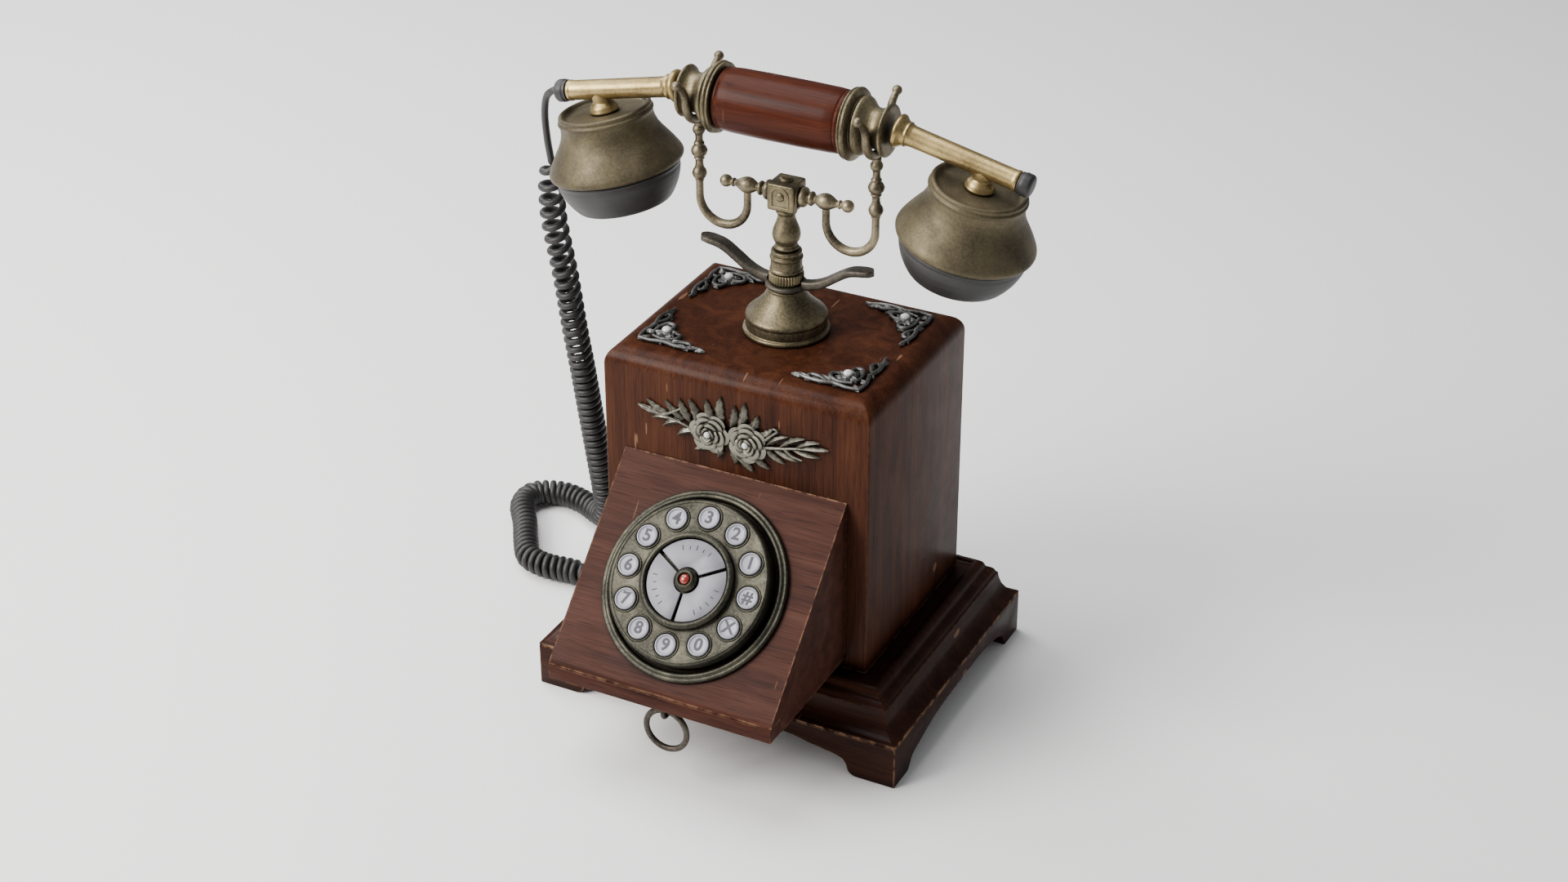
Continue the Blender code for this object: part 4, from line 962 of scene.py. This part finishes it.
def front_branch():
    """The branch with two roses on the cabinet's front."""
    face = -CABINET_HALF_DEPTH - GAP
    rng = random.Random(4)

    def where(x, z, height):
        if height is None:
            return seat((x, face, z), (math.pi / 2, 0, 0))
        return Vector((x, face - height, z))

    made = Builder()
    stems = [[(-47, 154.2), (-38, 152.6), (-28, 150.8), (-18, 148.0)],
             [(-36, 152.4), (-30, 155.6), (-26, 158.6)],
             [(14, 148.0), (24, 150.2), (34, 152.6), (46, 154.6)], [(26, 150.8), (30, 147.8), (35, 146.8)],
             [(16, 152), (20, 156), (22.6, 158.6), (20.4, 159.4)], [(0, 142), (5, 138), (9.6, 135.0)]]
    for stem in stems:
        line = [where(p.x, p.y, 1.1) for p in smooth_line(stem, 8)]
        made.tube(line, lambda t: 0.95 - 0.5 * t, 10)
    leaves = [((-37, 153), (-49.2, 154.8), 4.2, 1), ((-33, 152.6), (-44.5, 158.4), 4.0, 1),
              ((-31, 151.4), (-42.0, 149.8), 4.2, -1), ((-27, 151.2), (-36.5, 146.4), 4.0, -1),
              ((-26, 152.2), (-35, 160.0), 4.6, 1), ((-22, 152), (-27.8, 162.6), 5.0, 1),
              ((-18, 152), (-22.7, 163.6), 5.0, -1), ((-20, 148), (-29, 143.6), 4.4, -1),
              ((-10, 155), (-13.6, 165.6), 5.2, 1), ((-6, 155), (-6.3, 169.0), 5.6, 1),
              ((-1, 155), (0.6, 166.0), 5.0, -1), ((3, 155), (5.7, 168.8), 5.4, -1),
              ((8, 155), (12.6, 163.8), 5.0, -1), ((13, 153), (20.6, 159.4), 4.6, -1),
              ((17, 150), (27.5, 156.8), 3.8, 1), ((24, 151), (36.0, 158.0), 3.2, 1),
              ((32, 152.5), (43.5, 157.8), 2.8, 1), ((34, 153), (47.9, 155.1), 3.2, 0),
              ((30, 151.6), (43.5, 150.4), 3.0, -1), ((20, 149.2), (33.4, 145.6), 3.6, -1),
              ((16, 148), (26.4, 142.6), 4.0, -1), ((10, 143), (18.4, 138.0), 4.4, -1),
              ((4, 142), (10.2, 134.3), 5.0, -1), ((-1, 142), (1.6, 135.6), 4.6, 1),
              ((-8, 143), (-7.4, 136.6), 4.6, 1), ((-14, 143), (-20.0, 138.6), 4.4, 1)]
    for root, tip, width, side in leaves:
        leaf(made, where, root, tip, width, 1.5 + 0.8 * rng.random(), side * 0.9, 4)
    for x, z, radius, spin in ROSES:
        rose(made, where, (x, z), radius, spin)
    made.done("rose_branch", "relief", "cabinet", "pewter", "front_ornament", sharp=60)
    beads = Builder()
    for x, z, _, _ in ROSES:
        beads.ball(1.6, (x, face - 3.9, z), (1, 0.8, 1))
    beads.done("rose_beads", "pearl", "cabinet", "pewter")


def top_corners():
    """The pierced corner casting with its pearl flower, one on each corner of the cabinet's top."""
    names = (("front_left", -1, -1), ("front_right", 1, -1), ("rear_left", -1, 1), ("rear_right", 1, 1))
    for name, side, depth in names:
        def where(x, y, height, side=side, depth=depth):
            if height is None:
                return seat((side * x, depth * y, CABINET_TOP + GAP))
            return Vector((side * x, depth * y, CABINET_TOP + GAP + height))

        made = Builder()
        scrolls = [[(55.8, 39.6), (50, 40.2), (43, 39.0), (37, 40.2), (30, 39.8), (25, 38.2), (22.8, 38.8)],
                   [(55.8, 39.6), (56.4, 33), (55.0, 26), (56.2, 19), (55.6, 12.5), (54.2, 8.6),
                    (54.8, 6.8)],
                   [(50.5, 35.5), (45, 36.8), (39.5, 34.6), (38.8, 31.2), (41.6, 29.8), (42.6, 32.0),
                    (41.2, 33.0)],
                   [(51.5, 34.5), (52.2, 28.5), (50.2, 23.0), (46.8, 22.6), (45.6, 25.2), (47.6, 26.4),
                    (48.8, 25.2)],
                   [(40, 39.2), (35, 36.4), (31.0, 36.2), (29.8, 38.2), (31.6, 39.2)],
                   [(55.4, 24), (52.4, 19.6), (52.2, 15.6), (54.0, 14.6), (54.9, 16.4)]]
        for scroll in scrolls:
            line = [where(p.x, p.y, 1.0) for p in smooth_line(scroll, 8)]
            made.tube(line, lambda t: 1.15 - 0.55 * abs(2 * t - 0.8), 10)
        leaves = [((52, 36), (56.2, 40.4), 4.6, 0), ((47, 36), (43.5, 41.0), 4.0, 1),
                  ((43, 37), (36.5, 41.0), 3.8, 1), ((36, 38.4), (29.6, 41.0), 3.2, 1),
                  ((31, 38), (24.5, 36.2), 3.0, -1), ((28, 38.6), (22.0, 38.8), 2.8, 0),
                  ((41, 36), (34.5, 33.6), 3.6, -1), ((52.5, 31), (57.0, 33.6), 3.8, -1),
                  ((53.5, 25), (57.2, 27.0), 3.4, -1), ((54, 20), (50.4, 17.4), 3.2, 1),
                  ((54.6, 14), (54.4, 6.5), 3.0, 0), ((51, 26), (46.8, 20.4), 3.6, 1),
                  ((55, 16), (57.0, 10.6), 2.6, -1)]
        for root, tip, width, curl in leaves:
            leaf(made, where, root, tip, width, 1.3, curl * 0.7, 3)
        for k in range(6):
            angle = 2 * math.pi * k / 6 + 0.3
            ray = Vector((math.cos(angle), math.sin(angle)))
            centre = Vector(FLOWER)
            leaf(made, where, centre + ray * 1.2, centre + ray * 5.6, 4.6, 1.9, 0.0, 0)
        made.lathe([(0, 2.2), (2.6, 2.2), (3.2, 1.4), (3.2, 0.05), (0, 0.05)], where(*FLOWER, None), 32, 0.4)
        made.done(f"corner_{name}", "pewter", "cabinet", "pewter", f"corner_ornament_{name}", sharp=60)
        Builder().ball(2.2, where(*FLOWER, 2.5), (1, 1, 0.75)).done(
            f"corner_pearl_{name}", "pearl", "cabinet", "pewter")


# ---------------------------------------------------------------- column and cradle

def column():
    """The turned foot, the two-horned strap, the knurled ring and the sleeve."""
    foot = [(5.0, 202.1), (8.8, 202.1), (9.0, 201.4), (8.8, 200.8), (9.3, 199.8), (10.2, 198.0),
            (11.6, 196.0), (13.6, 193.9), (15.9, 191.8), (17.7, 190.3), (18.7, 189.4), (19.2, 188.5),
            (19.1, 187.5), (18.8, 187.0), (18.9, 186.4), (19.1, 183.2), (18.8, 182.8), (19.2, 182.4),
            (20.1, 182.1), (20.4, 181.4), (20.3, 180.3), (5.0, 180.3)]
    turned("column_foot", foot, None, 112, 0.6, "brass", "cabinet", "aged_brass", "column_base", closed=True)
    line = [(8.9, 204.9), (12, 205.3), (16, 206.6), (20, 208.6), (24, 211.3), (28, 214.0), (31, 215.8),
            (34, 217.0), (39, 217.9), (43.8, 218.3)]
    widths = (2.6, 2.8, 3.0, 3.2, 3.4, 3.5, 3.7, 3.9, 4.0, 3.1)

    def strap(share):
        spot = share * (len(widths) - 1)
        index = min(int(spot), len(widths) - 2)
        half = widths[index] + (widths[index + 1] - widths[index]) * (spot - index)
        half *= math.sqrt(max(0.06, 1 - max(0.0, (share - 0.95) / 0.05) ** 2))
        thick = 2.3 - 0.75 * share
        points = []
        for k in range(20):
            angle = 2 * math.pi * k / 20
            c, s = math.cos(angle), math.sin(angle)
            points.append((half * math.copysign(abs(c) ** 0.45, c), thick * math.copysign(abs(s) ** 0.6, s)))
        return points

    horns = Builder()
    for side in (-1, 1):
        horns.sweep([(side * p.x, 0, p.y) for p in smooth_line(line, 5)], strap)
    ferrule = [(5.0, 204.9), (8.8, 204.9), (9.8, 204.4), (9.8, 202.9), (9.2, 202.4), (5.0, 202.4)]
    horns.lathe(ferrule, None, 64, 0.4, closed=True)
    horns.done("two_horned_strap", "horn", "cabinet", "dark_bronze", "horn_lever")
    knurl = [(5.0, 210.1), (7.4, 210.1), (8.15, 209.5), (8.15, 205.9), (7.4, 205.2), (5.0, 205.2)]
    turned("knurled_collar", knurl, None, 216, 0.25, "brass", "cabinet", "aged_brass", "knurled_ring",
           closed=True, ridges=(36, 0.6, 205.7, 209.7))
    sleeve = [(5.0, 221.2), (6.6, 221.2), (7.15, 220.8), (7.2, 219.4), (6.7, 218.9), (6.7, 218.5),
              (7.7, 217.9), (7.8, 217.2), (7.3, 216.6), (7.3, 212.4), (7.8, 211.8), (7.8, 210.9),
              (7.3, 210.4), (5.0, 210.4)]
    turned("stem_sleeve", sleeve, None, 80, 0.3, "brass", "cabinet", "aged_brass", "column_sleeve",
           closed=True)


def cradle():
    """The stem, the head block and the two hooked arms with their forks."""
    stem = [(0, 241.7), (4.4, 241.7), (5.0, 241.0), (5.0, 239.9), (4.4, 239.2), (4.1, 238.4), (4.2, 236.8),
            (4.7, 235.2), (5.4, 233.4), (6.2, 231.2), (6.6, 229.0), (6.3, 226.8), (5.4, 225.0),
            (4.9, 224.0), (5.0, 223.4), (5.7, 222.9), (5.7, 222.1), (5.2, 221.5), (4.6, 221.5),
            (4.6, 186.0), (2.4, 186.0), (2.4, 159.6), (0, 159.6)]
    turned("stem", stem, None, 72, 0.5, "brass", "cradle", "aged_brass", "cradle_stem")

    block = Builder().box((-6.75, -6.75, 242), (6.75, 6.75, 255.2), 1.1)
    for turn in range(4):
        spin = Matrix.Rotation(turn * math.pi / 2, 4, "Z")
        panel = [(-4.2, 244.2), (-4.2, 249.6), *arc((0, 249.6), 4.2, 180, 0, 10)[1:], (4.2, 244.2)]
        outline = [spin @ Vector((x, -6.75, z)) for x, z in panel]
        block.tube(outline, 0.5, 8)
        block.tube([outline[-1], outline[0]], 0.5, 8)
        if turn % 2 == 0:
            block.lathe([(0, 1.1), (1.2, 1.0), (2.1, 0.5), (2.3, -0.3), (0, -0.3)],
                        spin @ seat((0, -6.75, 249.4), (math.pi / 2, 0, 0)), 24, 0.3)
    block.lathe([(0, 256.9), (2.3, 256.8), (3.1, 256.2), (3.3, 255.0), (0, 255.0)], None, 32, 0.4)
    block.box((-2.4, -0.35, 256.6), (2.4, 0.35, 257.15))
    block.done("head", "brass", "cradle", "aged_brass", "head_block")

    baluster = [(0, 33.5), (1.7, 33.1), (2.7, 31.9), (2.95, 30.6), (2.7, 29.3), (1.9, 28.3), (1.5, 27.6),
                (2.1, 27.0), (2.1, 26.4), (1.5, 25.8), (1.9, 24.6), (2.9, 23.0), (3.7, 21.2), (3.95, 19.6),
                (3.6, 17.8), (2.8, 16.2), (2.0, 15.0), (1.8, 14.4), (2.6, 13.9), (3.4, 13.2), (3.4, 12.2),
                (2.6, 11.6), (2.3, 11.1), (3.0, 10.6), (4.4, 10.0), (4.8, 9.0), (4.6, 7.9), (3.9, 7.1),
                (0, 7.1)]
    post = [(0, 275.2), (2.2, 275.2), (2.1, 273.4), (2.7, 272.4), (3.0, 271.2), (2.7, 270.0), (1.9, 269.0),
            (1.7, 267.0), (1.9, 265.4), (2.6, 264.6), (2.2, 263.9), (3.2, 262.6), (3.9, 261.0),
            (3.4, 259.2), (2.2, 258.0), (2.6, 257.3), (1.9, 256.5), (1.8, 254.6), (2.2, 252.6),
            (3.0, 251.4), (3.5, 249.8), (3.0, 248.2), (2.1, 247.0), (2.1, 246.0), (0, 246.0)]
    radius = (HOOK_OUTER_X - HOOK_INNER_X) / 2
    middle = (HOOK_OUTER_X + HOOK_INNER_X) / 2
    prong = [(12.4, HANDSET_Z + 1.5), (14.2, HANDSET_Z + 5.4), (17.0, HANDSET_Z + 8.4),
             (19.7, HANDSET_Z + 9.9)]
    for name, side in (("left", -1), ("right", 1)):
        arm = Builder().lathe(baluster, seat((0, 0, ARM_AXIS_Z), (0, side * math.pi / 2, 0)), 40, 0.4)
        wire = [(HOOK_INNER_X, ARM_AXIS_Z), *arc((middle, HOOK_CENTRE_Z), radius, 180, 360, 28),
                (HOOK_OUTER_X, 247)]
        arm.tube([(side * x, 0, z) for x, z in wire],
                 lambda t: 1.75 + 0.4 * math.sin(math.pi * t) ** 0.8, 18)
        arm.lathe(post, seat((side * HOOK_OUTER_X, 0, 0)), 40, 0.35)
        saddle = [(-y, z) for y, z in reversed(prong)] + arc((0, HANDSET_Z), 12.0, 184, 356, 20) + prong
        line = [(side * HOOK_OUTER_X, p.x, p.y) for p in smooth_line(saddle, 3)]
        arm.tube(line, lambda t: 1.55 + 0.65 * math.sin(math.pi * t) ** 0.6, 18)
        for y in (-20.0, 20.0):
            arm.ball(2.3, (side * HOOK_OUTER_X, y, HANDSET_Z + 10.4), rings=14)
        arm.done(f"hook_{name}", "bronze", "cradle", "dark_bronze", f"cradle_arm_{name}", sharp=50)


# ---------------------------------------------------------------- handset

def handset():
    """The grip, collars, tubes and the two bell-shaped cups with their black caps."""
    grip = [(0, 31.2), (13.4, 31.2), (14.0, 30.8), (14.2, 29.4), (13.8, 28.9), (14.3, 28.3), (14.6, 24.0),
            (14.8, 10.0), (14.8, -10.0), (14.6, -24.0), (14.3, -28.3), (13.8, -28.9), (14.2, -29.4),
            (14.0, -30.8), (13.4, -31.2), (0, -31.2)]
    turned("wooden_grip", grip, seat((0, 0, HANDSET_Z), (0, math.pi / 2, 0)), 96, 0.5, "grip", "handset",
           "grip_wood", "handset_grip")
    collar = [(0, 51.0), (10.6, 51.0), (11.7, 50.6), (12.1, 49.9), (11.7, 49.1), (10.8, 48.6), (9.9, 47.6),
              (9.3, 46.2), (9.1, 44.6), (9.4, 43.0), (10.2, 41.6), (11.6, 40.2), (12.8, 39.2),
              (13.4, 38.2), (13.5, 37.2), (12.8, 36.5), (12.7, 35.9), (14.2, 35.6), (15.9, 35.2),
              (16.6, 34.2), (16.4, 33.3), (15.6, 32.9), (16.2, 32.4), (16.1, 31.7), (15.4, 31.5),
              (0, 31.5)]
    reach = (118.0 - TUBE_START[0]) / math.cos(TUBE_TILT)
    tube_end = (111.6 - TUBE_START[0]) / math.cos(TUBE_TILT)
    bar = [(0, tube_end), (4.5, tube_end), (4.9, tube_end - 0.6), (4.9, tube_end - 1.6),
           (4.6, tube_end - 2.2), (4.75, 12.0), (4.85, 8.0), (5.2, 6.6), (5.9, 6.0), (5.6, 5.3),
           (5.8, 4.4), (6.6, 3.4), (7.6, 2.4), (7.8, 1.2), (7.2, 0.2), (6.4, -0.3), (0, -0.3)]
    cap = [(0, reach), (3.4, reach), (4.6, reach - 0.4), (5.3, reach - 1.4), (5.4, reach - 4.4),
           (5.0, reach - 5.0), (5.0, tube_end + 0.3), (0, tube_end + 0.3)]
    shell = [(0, -1.9), (15.0, -2.0), (17.6, -2.1), (18.6, -1.9), (19.2, -1.2), (19.7, -0.3), (20.3, 0.1),
             (21.4, 0), (22.0, -0.8), (21.7, -2.0), (22.3, -2.5), (22.7, -3.3), (22.2, -4.2), (21.9, -5.4),
             (22.1, -8.0), (23.1, -11.4), (24.8, -14.6), (27.0, -17.8), (29.2, -21.2), (30.7, -23.8),
             (31.5, -25.4), (31.9, -26.8), (31.4, -28.2), (30.2, -29.0), (28.9, -29.0), (28.9, -25.4),
             (25.2, -18.4), (22.0, -13.2), (20.4, -8.0), (20.2, -3.6), (0, -3.6)]
    neck = [(0, 8.0), (4.4, 8.0), (4.4, 3.2), (5.2, 2.4), (6.2, 1.2), (6.6, -0.2), (6.9, -1.0),
            (6.6, -1.6), (0, -1.6)]
    mouth = [(0, -44.5), (20.6, -44.5), (22.6, -42.0), (25.0, -38.0), (26.4, -34.0), (26.6, -31.0),
             (26.6, -25.6), (28.4, -25.6), (28.4, -29.3), (29.3, -29.3), (29.6, -30.2), (29.3, -31.0),
             (28.9, -31.4), (29.0, -33.0), (28.2, -36.0), (26.8, -39.4), (24.8, -42.8), (23.2, -45.0),
             (22.0, -46.2), (20.6, -46.5), (18.0, -46.2), (16.5, -45.9), (0, -45.9)]
    for name, side in (("left", -1), ("right", 1)):
        across = seat((0, 0, HANDSET_Z), (0, side * math.pi / 2, 0))
        turned(f"collar_{name}", collar, across, 88, 0.35, "brass", "handset", "aged_brass",
               f"grip_collar_{name}")
        along = seat((side * TUBE_START[0], 0, TUBE_START[1]), (0, side * (math.pi / 2 + TUBE_TILT), 0))
        cup = seat((side * CUP_TOP[0], 0, CUP_TOP[1]), (0, side * TUBE_TILT, 0))
        pipe = Builder().lathe(bar, along, 56, 0.3)
        pipe.lathe(neck, cup, 48, 0.4)
        pipe.done(f"arm_tube_{name}", "tube", "handset", "tube_brass", f"handset_tube_{name}", sharp=50)
        turned(f"tube_plug_{name}", cap, along, 48, 0.3, "black", "handset", "black_plastic",
               f"tube_cap_{name}")
        end = "transmitter" if side < 0 else "receiver"
        turned(f"{end}_bell", shell, cup, 120, 0.6, "cup", "handset", "cup_bronze", f"{end}_shell")
        holes = Builder()
        for ring, count in ((0, 1), (5.2, 6), (10.4, 12)):
            for k in range(count):
                angle = 2 * math.pi * k / count
                at = cup @ Matrix.Translation((ring * math.cos(angle), ring * math.sin(angle), 0))
                holes.lathe([(0, -40), (1.15, -40), (1.15, -50), (0, -50)], at, 16, 0)
        show(f"{end}_mouth", carve(f"{end}_mouth", Builder().lathe(mouth, cup, 112, 0.5), [holes]), "black",
             "handset", "black_plastic", [f"{end}_cap"], 45)


def hidden_parts():
    """Materials for the parts that show only through a gap, and a detailed gland for the cord."""
    for node, finish in (("main_board", "green"), ("hook_switch", "black"), ("transmitter_capsule", "steel"),
                         ("receiver_capsule", "steel")):
        mesh = bpy.data.objects[node].data
        mesh.materials.clear()
        mesh.materials.append(FINISHES[finish])
    gland = [(0, 4.6), (2.1, 4.6), (2.5, 4.1), (2.5, 3.6), (2.2, 3.4), (2.6, 3.0), (2.6, 2.6), (2.3, 2.4),
             (2.8, 2.0), (2.8, 1.6), (2.5, 1.4), (3.4, 1.2), (3.5, 0.6), (3.5, 0), (0, 0)]
    where = seat((-BASE_HALF_WIDTH - GAP, GLAND_Y, GLAND_Z), (0, -math.pi / 2, 0))
    turned("cord_grommet", gland, where, 40, 0.2, "black", "cabinet", "black_plastic", "cord_gland", 38)


camera()
studio()
cord()
cabinet()
base()
housing()
dial()
front_branch()
top_corners()
column()
cradle()
handset()
hidden_parts()
